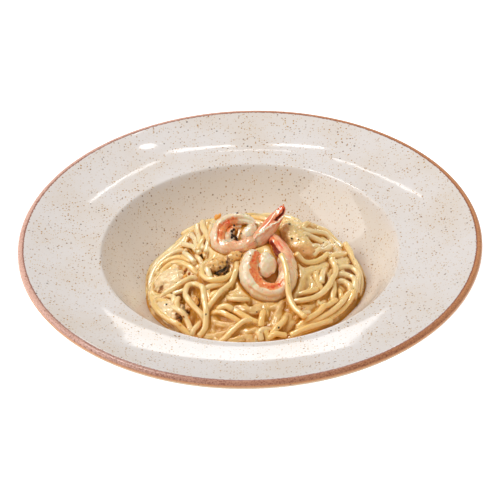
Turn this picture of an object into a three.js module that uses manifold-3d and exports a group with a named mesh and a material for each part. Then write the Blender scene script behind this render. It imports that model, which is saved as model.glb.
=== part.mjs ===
// A plate of creamy seafood spaghetti: a wide-rimmed stoneware pasta plate, the pool of cream
// in its well, one heap of spaghetti, and the shrimps and mussels that lie in the heap.
// Millimetres, +Z up. The origin is the centre of the foot ring, on the table.

import * as THREE from 'three';
import { mergeVertices } from 'three/addons/utils/BufferGeometryUtils.js';
import Module from 'manifold-3d';

// ---------------------------------------------------------------- driving dimensions

const PLATE = {
  radius: 135,          // outside of the rim
  height: 50,           // table to the top of the rim
  floor: 8.6,           // top of the well's floor
  flatRadius: 44,       // flat part of the well's floor
  shoulderRadius: 86.5, // edge where the well meets the wide rim
  shoulderHeight: 37.7,
  wallPower: 2.35,      // how late the well's wall turns up
  rimStart: 84,         // where the wide rim's own curve begins
  rimBase: 39,
  rimRise: 10.86,       // rise of the wide rim up to the lip
  rimSpan: 48,
  rimPower: 1.6,
  shoulderBlend: 0.55,  // size of the rounding at the shoulder
  lipRadius: 2.4,
  wallShift: 3.2,       // outward step to the underside of the well's wall
  wallDrop: 4.2,        // downward step to the underside of the well's wall
  rimThickness: 4.4,
  undersideBlend: 1.5,
  footOuter: 56,
  footInner: 50.5,
  footRecess: 4,        // height of the underside inside the foot ring
  segments: 60,
};

const GAP = 0.3;          // clearance between pieces that touch
const CREAM_LEVEL = 12.2; // surface of the cream pool in the well
const CREAM_SEGMENTS = 36;

const HEAP = {
  centre: new THREE.Vector2(1, -1),
  radius: 65.2,
  base: 12.6,
  rise: 19.5,
  edgeLift: 1,
  domePower: 2.5,
  flank: 0.85,
  segments: 44,
  strandRelief: 0.55,
};

// The heap's outline swells and shrinks: [waves round the rim, amplitude, phase].
const OUTLINE_WAVES = [
  [1, 1.2, 0],
  [3, 0.8, -0.9],
  [5, 0.6, 0.7],
  [8, 0.5, 1.9],
];

// Two places where the outline is drawn in: [angle, half width, depth].
const OUTLINE_DENTS = [
  [0.62, 0.42, 3.2],
  [2.55, 0.35, 2.2],
];

// Tangles that stand above the dome, and the dip that the front shrimp lies in.
const TANGLES = [
  { x: -31, y: 33, radius: 8, height: 7 },
  { x: -19, y: 36, radius: 6, height: 2.5 },
  { x: 35, y: 36, radius: 11, height: 8.5 },
  { x: 52, y: 8, radius: 10, height: 3 },
  { x: -44, y: -2, radius: 11, height: 2 },
  { x: -46, y: -33, radius: 10, height: 2 },
  { x: 30, y: -44, radius: 14, height: 3 },
  { x: -2, y: 8, radius: 22, height: 2.5 },
  { x: -28, y: -30, radius: 8, height: 1.5 },
  { x: -8, y: 21, radius: 9, height: 2 },
  { x: 9, y: -25, radius: 14, height: -6 },
];

// Each shrimp curls as an arc in a plane that leans towards the front, and then
// runs out into its tail. Angles are in degrees, tail points are in space.
const SHRIMP_BACK_LEFT = {
  centre: new THREE.Vector3(-9.8, 12.8, 38.7),
  lean: 22,
  curlRadius: [10.6, 10.2],
  curlAngles: [12, 292],
  tail: [
    new THREE.Vector3(3.4, 7, 37.2),
    new THREE.Vector3(9.5, 13.6, 40.8),
    new THREE.Vector3(15, 19.6, 46),
    new THREE.Vector3(20.1, 24.8, 51),
  ],
  girth: 5.3,
  tailGirth: 3,
};

const SHRIMP_FRONT = {
  centre: new THREE.Vector3(8.9, -18.8, 33.6),
  lean: 34,
  curlRadius: [7.2, 12.6],
  curlAngles: [58, 350],
  tail: [
    new THREE.Vector3(23.6, -13.6, 33),
    new THREE.Vector3(22.6, -4, 33.4),
    new THREE.Vector3(19.6, 5.4, 32.8),
    new THREE.Vector3(17.2, 12, 31.8),
  ],
  girth: 5.8,
  tailGirth: 3,
};

// A third shrimp lies on its side under its coat of cream, at the right of the back.
const SHRIMP_COATED = {
  centre: new THREE.Vector3(25, -1, 27),
  lean: 16,
  curlRadius: [22, 19],
  curlAngles: [88, 18],
  tail: [],
  girth: 5.9,
  tailGirth: 4.6,
};

// Mussel meats: a plump bean with a frilled edge. Half sizes, then the turn about Z of its
// length, the pitch of its length and the roll about its length, in degrees.
const MUSSELS = [
  { name: 'mussel_top', at: [-16, -8.8, 33], half: [10.6, 6.2, 4.6], turn: 20, pitch: -4, roll: 20 },
  { name: 'mussel_left', at: [-48.6, -10, 22.6], half: [10.4, 7, 4.6], turn: 28, pitch: -30, roll: 4 },
  { name: 'mussel_front_left', at: [-46.4, -34.4, 19.2], half: [12, 6.6, 4.4], turn: -48, pitch: 0, roll: 28 },
  { name: 'mussel_small', at: [-34.4, -34.2, 24], half: [4.6, 3.3, 3.1], turn: 62, pitch: -20, roll: 0 },
];

// ---------------------------------------------------------------- materials

const MATERIALS = {
  stoneware: new THREE.MeshStandardMaterial({ color: 0xe8e6da, roughness: 0.22, metalness: 0 }),
  cream: new THREE.MeshStandardMaterial({ color: 0xdcc39c, roughness: 0.3, metalness: 0 }),
  spaghetti: new THREE.MeshStandardMaterial({ color: 0xe9cf9f, roughness: 0.35, metalness: 0 }),
  shrimp: new THREE.MeshStandardMaterial({ color: 0xeba285, roughness: 0.3, metalness: 0 }),
  coatedShrimp: new THREE.MeshStandardMaterial({ color: 0xdfc08e, roughness: 0.3, metalness: 0 }),
  mussel: new THREE.MeshStandardMaterial({ color: 0xb98f52, roughness: 0.4, metalness: 0 }),
};

// ---------------------------------------------------------------- the plate's surfaces

/** The lower of two heights, rounded where they cross. */
function softMin(a, b, blend) {
  return -blend * Math.log(Math.exp(-a / blend) + Math.exp(-b / blend));
}

/** Height of the well's floor and wall at a radius, as a power curve from the flat floor. */
function wallHeight(r) {
  const u = Math.max(0, r - PLATE.flatRadius) / (PLATE.shoulderRadius - PLATE.flatRadius);
  return PLATE.floor + (PLATE.shoulderHeight - PLATE.floor) * u ** PLATE.wallPower;
}

/** Height of the wide rim's upper face at a radius. */
function rimHeight(r) {
  const u = Math.max(0, r - PLATE.rimStart) / PLATE.rimSpan;
  return PLATE.rimBase + PLATE.rimRise * u ** PLATE.rimPower;
}

/** Height of the plate's upper face at a radius. */
function plateTop(r) {
  return softMin(wallHeight(r), rimHeight(r), PLATE.shoulderBlend);
}

/** Height of the plate's lower face at a radius outside the foot ring. */
function plateUnderside(r) {
  const wall = wallHeight(r - PLATE.wallShift) - PLATE.wallDrop;
  return softMin(wall, rimHeight(r) - PLATE.rimThickness, PLATE.undersideBlend);
}

/** The plate: a lathe of its upper face, round lip, underside and foot ring. */
function plateGeometry() {
  const { radius, height, lipRadius, footOuter, footInner, footRecess } = PLATE;
  const lipCentre = new THREE.Vector2(radius - lipRadius, height - lipRadius);
  const upper = [0, 44, 52, 59, 65, 70.5, 75.5, 80, 83.5, 86, 88, 92, 100, 110, 121, 131.4];
  const lower = [129, 112, 98, 91, 86, 80, 72, 62];
  const profile = upper.map((r) => new THREE.Vector2(r, plateTop(r)));
  for (const degrees of [78, 42, 0, -42, -84]) {
    const angle = THREE.MathUtils.degToRad(degrees);
    profile.push(new THREE.Vector2(Math.cos(angle), Math.sin(angle)).multiplyScalar(lipRadius).add(lipCentre));
  }
  profile.push(...lower.map((r) => new THREE.Vector2(r, plateUnderside(r))));
  profile.push(
    new THREE.Vector2(footOuter + 1.4, footRecess + 0.7),
    new THREE.Vector2(footOuter, footRecess - 1.2),
    new THREE.Vector2(footOuter - 0.6, 0),
    new THREE.Vector2(footInner + 0.6, 0),
    new THREE.Vector2(footInner, footRecess - 0.8),
    new THREE.Vector2(footInner - 1.6, footRecess),
    new THREE.Vector2(0, footRecess),
  );
  return standUp(new THREE.LatheGeometry(profile.reverse(), PLATE.segments));
}

/** The cream pool: level on top, and lying in the well just clear of the glaze. */
function creamGeometry() {
  const under = (r) => plateTop(r) + GAP;
  let edge = PLATE.flatRadius;
  while (under(edge) < CREAM_LEVEL - 0.15) edge += 0.05;
  const radii = [0, PLATE.flatRadius, 50, 54.5, 58];
  const profile = radii.map((r) => new THREE.Vector2(r, under(r)));
  profile.push(new THREE.Vector2(edge, CREAM_LEVEL - 0.15), new THREE.Vector2(edge - 1, CREAM_LEVEL));
  profile.push(new THREE.Vector2(0, CREAM_LEVEL));
  return standUp(new THREE.LatheGeometry(profile, CREAM_SEGMENTS));
}

// ---------------------------------------------------------------- the heap of spaghetti

/** Distance from the heap's centre to its outline in a direction. */
function heapOutline(angle) {
  let reach = HEAP.radius;
  for (const [waves, amplitude, phase] of OUTLINE_WAVES) reach += amplitude * Math.cos(waves * angle + phase);
  for (const [at, width, depth] of OUTLINE_DENTS) {
    const away = THREE.MathUtils.euclideanModulo(angle, 2 * Math.PI) - at;
    reach -= depth * Math.exp(-((away / width) ** 2));
  }
  return reach;
}

/** Height of what the heap lies on: the cream pool, and the well's wall outside it. */
function heapBed(x, y) {
  return Math.max(CREAM_LEVEL, plateTop(Math.hypot(x, y))) + GAP;
}

/** Height of the heap's top: a steep-sided dome, its tangles and a relief of strands. */
function heapTop(x, y, fraction, angle) {
  const reach = heapOutline(angle);
  const rimX = HEAP.centre.x + reach * Math.cos(angle);
  const rimY = HEAP.centre.y + reach * Math.sin(angle);
  const edge = heapBed(rimX, rimY) + HEAP.edgeLift;
  let z = THREE.MathUtils.lerp(HEAP.base, edge, fraction ** 3);
  z += HEAP.rise * Math.max(0, 1 - fraction ** HEAP.domePower) ** HEAP.flank;
  const inside = 1 - fraction ** 6;
  for (const tangle of TANGLES) {
    const away = Math.hypot(x - tangle.x, y - tangle.y) / tangle.radius;
    z += inside * tangle.height * Math.exp(-(away ** 2));
  }
  const strands = Math.sin(0.62 * x + 2.2 * Math.sin(0.09 * y)) + Math.sin(0.55 * y - 1.7 * Math.cos(0.1 * x));
  return z + inside * HEAP.strandRelief * strands;
}

/** The heap: a lathe disc whose upper and lower faces are moved onto their heights. */
function heapGeometry() {
  const topStations = [0, 0.16, 0.31, 0.45, 0.57, 0.68, 0.78, 0.87, 0.94, 0.98];
  const bedStations = [0.96, 0.88, 0];
  const profile = topStations.map((fraction) => new THREE.Vector2(fraction, 1));
  profile.push(new THREE.Vector2(1, 0));
  profile.push(...bedStations.map((fraction) => new THREE.Vector2(fraction, -1)));
  const geometry = standUp(new THREE.LatheGeometry(profile.reverse(), HEAP.segments));
  return moveVertices(geometry, (p) => {
    const fraction = Math.hypot(p.x, p.y);
    const side = p.z;
    const angle = Math.atan2(p.y, p.x);
    p.x = HEAP.centre.x + heapOutline(angle) * fraction * Math.cos(angle);
    p.y = HEAP.centre.y + heapOutline(angle) * fraction * Math.sin(angle);
    const top = heapTop(p.x, p.y, Math.min(1, fraction), angle);
    p.z = side < 0 ? heapBed(p.x, p.y) : top;
  });
}

// ---------------------------------------------------------------- seafood

/** A shrimp's spine: an arc in the leaning plane, then its tail points, as one smooth curve. */
function shrimpSpine({ centre, lean, curlRadius, curlAngles, tail }) {
  const plane = new THREE.Matrix4().makeRotationX(THREE.MathUtils.degToRad(lean));
  const turn = new THREE.Vector2(...curlAngles.map(THREE.MathUtils.degToRad));
  const steps = Math.ceil(Math.abs(turn.y - turn.x) / 0.4);
  const points = [];
  for (let i = 0; i <= steps; i += 1) {
    const t = i / steps;
    const angle = THREE.MathUtils.lerp(turn.x, turn.y, t);
    const reach = THREE.MathUtils.lerp(curlRadius[0], curlRadius[1], Math.min(1, 3 * t));
    const point = new THREE.Vector3(reach * Math.cos(angle), reach * Math.sin(angle), 0);
    points.push(point.applyMatrix4(plane).add(centre));
  }
  return new THREE.CatmullRomCurve3([...points, ...tail], false, 'centripetal');
}

/** A shrimp's half thickness: a blunt head end, five shell segments and a narrowing tail. */
function shrimpGirth(t, { girth, tailGirth }) {
  const blunt = Math.sqrt(Math.max(0, 1 - (1 - Math.min(1, t / 0.07)) ** 2));
  const point = Math.sqrt(Math.max(0, 1 - Math.max(0, (t - 0.93) / 0.07) ** 2));
  const body = THREE.MathUtils.lerp(girth, tailGirth, THREE.MathUtils.smoothstep(t, 0.25, 1));
  const segments = 1 + 0.035 * Math.cos(2 * Math.PI * 7 * t);
  return body * segments * (0.35 + 0.65 * blunt) * (0.3 + 0.7 * point);
}

/** A body of round sections carried along a shrimp's spine, closed by a fan at each end. */
function shrimpGeometry(shrimp) {
  const spine = shrimpSpine(shrimp);
  const stations = 26;
  const sides = 10;
  const frames = spine.computeFrenetFrames(stations);
  const points = spine.getSpacedPoints(stations);
  const positions = [];
  const indices = [];
  points.forEach((centre, i) => {
    const reach = shrimpGirth(i / stations, shrimp);
    for (let j = 0; j < sides; j += 1) {
      const angle = (2 * Math.PI * j) / sides;
      const p = centre.clone();
      p.addScaledVector(frames.normals[i], reach * Math.cos(angle));
      p.addScaledVector(frames.binormals[i], reach * Math.sin(angle));
      positions.push(p.x, p.y, p.z);
    }
  });
  for (let i = 0; i < stations; i += 1) {
    for (let j = 0; j < sides; j += 1) {
      const a = i * sides + j;
      const b = i * sides + ((j + 1) % sides);
      indices.push(a, b, b + sides, a, b + sides, a + sides);
    }
  }
  for (const [end, ring] of [[0, 0], [stations, stations * sides]]) {
    const tip = positions.length / 3;
    positions.push(...points[end].toArray());
    for (let j = 0; j < sides; j += 1) {
      const a = ring + j;
      const b = ring + ((j + 1) % sides);
      indices.push(...(end === 0 ? [tip, b, a] : [tip, a, b]));
    }
  }
  const geometry = new THREE.BufferGeometry();
  geometry.setAttribute('position', new THREE.Float32BufferAttribute(positions, 3));
  geometry.setIndex(indices);
  return geometry;
}

/** A mussel's meat: an egg with a hollow along its middle, lumps, and a frill round its edge. */
function musselGeometry({ at, half, turn, pitch, roll }) {
  const geometry = standUp(new THREE.SphereGeometry(1, 18, 9));
  const [aroundX, aroundY, aroundZ] = [roll, pitch, turn].map(THREE.MathUtils.degToRad);
  const place = new THREE.Matrix4().makeRotationFromEuler(new THREE.Euler(aroundX, aroundY, aroundZ, 'ZXY'));
  place.setPosition(...at);
  return moveVertices(geometry, (p) => {
    const around = Math.atan2(p.y, p.x);
    const level = Math.hypot(p.x, p.y);
    const frill = 1 + 0.06 * level ** 4 * Math.cos(7 * around);
    const egg = 1 + 0.16 * p.x;
    const hollow = 1 - 0.3 * Math.exp(-((p.y / 0.3) ** 2)) * Math.max(0, p.z) * (1 - p.x ** 2);
    p.set(p.x * half[0] * frill, p.y * half[1] * frill * egg, p.z * half[2] * hollow);
    p.applyMatrix4(place);
  });
}

// ---------------------------------------------------------------- helpers

/** Turn a geometry made round the Y axis so that it stands on Z. */
function standUp(geometry) {
  return geometry.rotateX(Math.PI / 2);
}

/** Strip a geometry to its positions and weld the vertices that share a place. */
function welded(geometry) {
  const bare = geometry.clone();
  bare.deleteAttribute('normal');
  bare.deleteAttribute('uv');
  return mergeVertices(bare, 1e-4);
}

/** Weld a geometry and move each of its vertices by a function of its position. */
function moveVertices(geometry, move) {
  const moved = welded(geometry);
  const place = moved.attributes.position;
  const p = new THREE.Vector3();
  for (let i = 0; i < place.count; i += 1) {
    p.fromBufferAttribute(place, i);
    move(p);
    place.setXYZ(i, p.x, p.y, p.z);
  }
  return moved;
}

/** A welded copy of a geometry with every vertex moved out along its normal. */
function swollen(geometry, distance) {
  const copy = welded(geometry);
  copy.computeVertexNormals();
  const normals = copy.attributes.normal;
  const place = copy.attributes.position;
  for (let i = 0; i < place.count; i += 1) {
    place.setXYZ(
      i,
      place.getX(i) + distance * normals.getX(i),
      place.getY(i) + distance * normals.getY(i),
      place.getZ(i) + distance * normals.getZ(i),
    );
  }
  copy.deleteAttribute('normal');
  return copy;
}

const wasm = await Module();
wasm.setup();

/** A solid for the boolean library from a closed geometry. */
function toSolid(geometry) {
  const bare = welded(geometry);
  return new wasm.Manifold(new wasm.Mesh({
    numProp: 3,
    vertProperties: new Float32Array(bare.attributes.position.array),
    triVerts: new Uint32Array(bare.index.array),
  }));
}

/** A geometry from a solid of the boolean library. */
function toGeometry(solid) {
  const mesh = solid.getMesh();
  const geometry = new THREE.BufferGeometry();
  geometry.setAttribute('position', new THREE.Float32BufferAttribute(mesh.vertProperties, 3));
  geometry.setIndex(Array.from(mesh.triVerts));
  return geometry;
}

/** What is left of a geometry once the others, swollen by the gap, are cut from it. */
function cutClear(geometry, others) {
  let solid = toSolid(geometry);
  for (const other of others) solid = solid.subtract(toSolid(swollen(other, GAP)));
  const largest = solid.decompose().sort((a, b) => b.volume() - a.volume())[0];
  return toGeometry(largest);
}

// ---------------------------------------------------------------- assembly

const dish = new THREE.Group();

/** Add one named piece to the dish. */
function addPiece(name, geometry, material) {
  const mesh = new THREE.Mesh(geometry, material);
  mesh.name = name;
  dish.add(mesh);
}

const shrimps = {
  shrimp_back_left: shrimpGeometry(SHRIMP_BACK_LEFT),
  shrimp_front: shrimpGeometry(SHRIMP_FRONT),
};
const coated = shrimpGeometry(SHRIMP_COATED);
const mussels = MUSSELS.map((mussel) => musselGeometry(mussel));
const toppings = [...Object.values(shrimps), coated, ...mussels];

addPiece('plate', plateGeometry(), MATERIALS.stoneware);
addPiece('cream_sauce', creamGeometry(), MATERIALS.cream);
addPiece('spaghetti_heap', cutClear(heapGeometry(), toppings), MATERIALS.spaghetti);
for (const [name, geometry] of Object.entries(shrimps)) addPiece(name, geometry, MATERIALS.shrimp);
addPiece('shrimp_coated', coated, MATERIALS.coatedShrimp);
MUSSELS.forEach(({ name }, i) => addPiece(name, mussels[i], MATERIALS.mussel));

export default dish;
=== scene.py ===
"""Looks for a plate of creamy seafood spaghetti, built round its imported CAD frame.

Every shape is worked out in millimetres on whole numpy arrays and written to its mesh in metres.
+Z is up, the front of the dish faces -Y, and the origin is the centre of the foot ring.
"""

import logging
import math
from dataclasses import dataclass, field
from enum import Enum
from typing import Any, Callable, Sequence

import bpy
import numpy as np
from mathutils import Matrix, Quaternion, Vector


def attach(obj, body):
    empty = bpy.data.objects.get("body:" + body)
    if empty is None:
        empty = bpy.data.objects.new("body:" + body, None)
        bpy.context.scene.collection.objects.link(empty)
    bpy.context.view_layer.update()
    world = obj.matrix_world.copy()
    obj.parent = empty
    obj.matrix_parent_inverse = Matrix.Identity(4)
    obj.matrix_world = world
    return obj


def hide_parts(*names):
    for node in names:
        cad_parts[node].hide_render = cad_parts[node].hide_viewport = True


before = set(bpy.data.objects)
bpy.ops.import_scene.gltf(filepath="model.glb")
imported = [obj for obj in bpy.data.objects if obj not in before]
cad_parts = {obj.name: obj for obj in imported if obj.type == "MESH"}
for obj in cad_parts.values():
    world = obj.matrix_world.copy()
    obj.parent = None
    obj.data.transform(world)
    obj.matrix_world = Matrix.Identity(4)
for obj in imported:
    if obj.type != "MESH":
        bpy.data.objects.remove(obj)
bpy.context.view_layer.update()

Array = np.ndarray
Material = bpy.types.Material
Piece = bpy.types.Object
Socket = bpy.types.NodeSocket
Value = Any  # a Signal, a node socket, a number or a tuple
Colour = tuple[float, float, float]  # red, green, blue as linear light
Triple = tuple[float, float, float]  # x, y, z
Knots = tuple[tuple[float, float, float, float], ...]  # places along a line, each with its radius
Part = tuple[Array, list[Array], dict[str, Array]]  # vertices, faces and vertex values

LOG = logging.getLogger("spaghetti")
METRES = 0.001  # one millimetre in metres
TURN = 2.0 * math.pi
AWAY = 99.0  # a height far above or below everything, where nothing is


class Slot(Enum):
    """Names of material slots, which the pieces are given but do not use."""

    STONEWARE = "stoneware"
    CREAM = "cream"
    SPAGHETTI = "spaghetti"
    SHRIMP = "shrimp"
    COATED = "coated_shrimp"
    MUSSEL = "mussel"


# ---------------------------------------------------------------- numbers and fields


def soft_min(a: Array, b: Array, blend: float) -> Array:
    """The lower of two heights, rounded where they cross: -blend ln(e^(-a/blend) + e^(-b/blend))."""
    return -blend * np.logaddexp(-a / blend, -b / blend)


def soft_max(a: Array, b: Array, blend: float) -> Array:
    """The higher of two heights, rounded where they cross."""
    return -soft_min(-a, -b, blend)


def smooth_step(x: Array, low: float, high: float) -> Array:
    """The cubic 3u^2 - 2u^3 of u = (x - low) / (high - low), held to 0..1."""
    u = np.clip((np.asarray(x, float) - low) / (high - low), 0.0, 1.0)
    return u * u * (3.0 - 2.0 * u)


def between(x: Array, start: float, full: float, fading: float, stop: float) -> Array:
    """A share that eases in from start to full and out from fading to stop."""
    return smooth_step(x, start, full) * (1.0 - smooth_step(x, fading, stop))


def bell(x: Array, width: float) -> Array:
    """The bell curve e^(-(x / width)^2)."""
    return np.exp(-((x / width) ** 2))


def hill(x: Array, y: Array, at_x: float, at_y: float, radius: float) -> Array:
    """A round hill of height 1: e^(-d^2 / radius^2) of the distance d from its middle."""
    return np.exp(-((x - at_x) ** 2 + (y - at_y) ** 2) / radius**2)


def rounded_end(share: Array) -> Array:
    """The quarter circle (1 - (1 - u)^2)^1/2 of u held to 0..1, which rounds off an end."""
    return np.sqrt(np.clip(1.0 - (1.0 - np.clip(share, 0.0, 1.0)) ** 2, 0.0, 1.0))


def lattice_noise(points: Array, size: float, seed: int) -> Array:
    """Smooth noise in -1..1: random values on a cubic lattice, eased between its eight corners.

    Args:
        points: positions, last axis x, y, z.
        size: lattice spacing in the units of the positions.
        seed: which noise.

    Returns:
        One value for each position.
    """
    scaled = np.asarray(points, float) / size
    base = np.floor(scaled).astype(np.int64)
    part = scaled - base
    ease = part * part * (3.0 - 2.0 * part)
    total = np.zeros(scaled.shape[:-1])
    for corner in range(8):
        step = np.array([corner & 1, (corner >> 1) & 1, (corner >> 2) & 1])
        cell = base + step  # hashed below into one random number
        mixed = cell[..., 0] * 374761393 + cell[..., 1] * 668265263 + cell[..., 2] * 2147483647
        mixed = (mixed + seed * 1274126177) & 0x7FFFFFFF
        mixed = ((mixed ^ (mixed >> 13)) * 1103515245 + 12345) & 0x7FFFFFFF
        mixed = ((mixed ^ (mixed >> 11)) * 1664525 + 1013904223) & 0x7FFFFFFF
        value = mixed / float(0x3FFFFFFF) - 1.0
        weight = np.where(step, ease, 1.0 - ease).prod(-1)
        total += value * weight
    return total


# ---------------------------------------------------------------- meshes


def fill_mesh(
    name: str,
    points: Array,
    faces: Sequence[Array],
    material: Material,
    values: dict[str, Array] | None = None,
    replaces: Sequence[str] = (),
    smooth: bool = True,
) -> Piece:
    """Make one piece of the dish from whole arrays.

    Args:
        name: name of the piece.
        points: vertices in millimetres.
        faces: arrays of vertex numbers, one array for each count of corners.
        material: its finish.
        values: numbers kept on each vertex for the finish to read.
        replaces: CAD nodes that the piece stands for.
        smooth: whether the faces are shaded smooth.

    Returns:
        The piece, riding on the root body.
    """
    mesh = bpy.data.meshes.new(name)
    points = np.asarray(points, float)
    counts = [np.full(len(block), block.shape[1]) for block in faces if len(block)]
    corners = np.concatenate([np.asarray(block).ravel() for block in faces if len(block)])
    lengths = np.concatenate(counts)
    starts = np.concatenate([[0], np.cumsum(lengths)[:-1]])
    mesh.vertices.add(len(points))
    mesh.vertices.foreach_set("co", (points * METRES).astype(np.float32).ravel())
    mesh.loops.add(len(corners))
    mesh.loops.foreach_set("vertex_index", corners.astype(np.int32))
    mesh.polygons.add(len(lengths))
    mesh.polygons.foreach_set("loop_start", starts.astype(np.int32))
    mesh.polygons.foreach_set("use_smooth", np.full(len(lengths), smooth))
    for label, numbers in (values or {}).items():
        layer = mesh.attributes.new(label, "FLOAT", "POINT")
        layer.data.foreach_set("value", np.asarray(numbers, np.float32).ravel())
    mesh.update(calc_edges=True)
    mesh.validate()
    mesh.materials.append(material)
    piece = bpy.data.objects.new(name, mesh)
    bpy.context.scene.collection.objects.link(piece)
    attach(piece, "root")
    if replaces:
        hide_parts(*replaces)
    LOG.info("%s: %d vertices, %d faces", name, len(points), len(lengths))
    return piece


def tube_faces(rings: int, sides: int, flip: bool = False) -> list[Array]:
    """Faces of a tube of rings, closed by a fan at each end round one vertex numbered after the rings.

    Args:
        rings: number of rings.
        sides: vertices in each ring, anticlockwise seen against the way the tube runs.
        flip: whether the rings run the other way round.

    Returns:
        Quads and triangles that face out.
    """
    i = np.arange(rings - 1)[:, None] * sides
    j = np.arange(sides)
    k = (j + 1) % sides
    quads = np.stack([i + j, i + k, i + sides + k, i + sides + j], -1).reshape(-1, 4)
    first, final = rings * sides, (rings - 1) * sides
    start = np.stack([np.full(sides, first), k, j], -1)
    stop = np.stack([np.full(sides, first + 1), final + j, final + k], -1)
    fans = np.concatenate([start, stop])
    return [quads[:, ::-1], fans[:, [0, 2, 1]]] if flip else [quads, fans]


def lathe(profile: Array, segments: int) -> tuple[Array, list[Array]]:
    """Turn a profile of (radius, height) about Z, with a single vertex at each end on the axis.

    Args:
        profile: points from the axis out over the upper side, then back underneath to the axis.
        segments: steps round the axis.

    Returns:
        Vertices and faces.
    """
    angle = np.arange(segments) * TURN / segments
    ring = np.stack([np.cos(angle), np.sin(angle)], -1)
    inner = profile[1:-1]
    heights = np.repeat(inner[:, None, 1:], segments, 1)
    walls = np.concatenate([inner[:, None, :1] * ring[None], heights], -1)
    poles = np.array([[0, 0, profile[0, 1]], [0, 0, profile[-1, 1]]])
    return np.concatenate([walls.reshape(-1, 3), poles]), tube_faces(len(inner), segments, flip=True)


# ---------------------------------------------------------------- shader maths


def operator(operation: str, reflected: bool = False) -> Callable[["Signal", Value], "Signal"]:
    """An operator on signals that adds one Math node.

    Args:
        operation: the node's operation.
        reflected: whether the signal stands on the right.

    Returns:
        The method.
    """

    def apply(self: "Signal", other: Value) -> "Signal":
        """The node's result."""
        return self.graph.math(operation, *((other, self) if reflected else (self, other)))

    return apply


class Signal:
    """A number that varies over a surface, with the usual arithmetic."""

    __add__, __radd__ = operator("ADD"), operator("ADD", True)
    __sub__, __rsub__ = operator("SUBTRACT"), operator("SUBTRACT", True)
    __mul__, __rmul__ = operator("MULTIPLY"), operator("MULTIPLY", True)
    __truediv__, __rtruediv__ = operator("DIVIDE"), operator("DIVIDE", True)
    __pow__, __rpow__ = operator("POWER"), operator("POWER", True)
    most, least = operator("MAXIMUM"), operator("MINIMUM")

    def __init__(self, graph: "Graph", socket: Socket) -> None:
        """Keep the graph that the socket belongs to."""
        self.graph = graph
        self.socket = socket

    def step(self, low: float, high: float) -> "Signal":
        """Ease from 0 at low to 1 at high."""
        ends = {"Value": self, "From Min": low, "From Max": high, "To Min": 0.0, "To Max": 1.0}
        made = self.graph.node("ShaderNodeMapRange", {"interpolation_type": "SMOOTHSTEP"}, ends)
        return Signal(self.graph, made.outputs["Result"])


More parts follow.
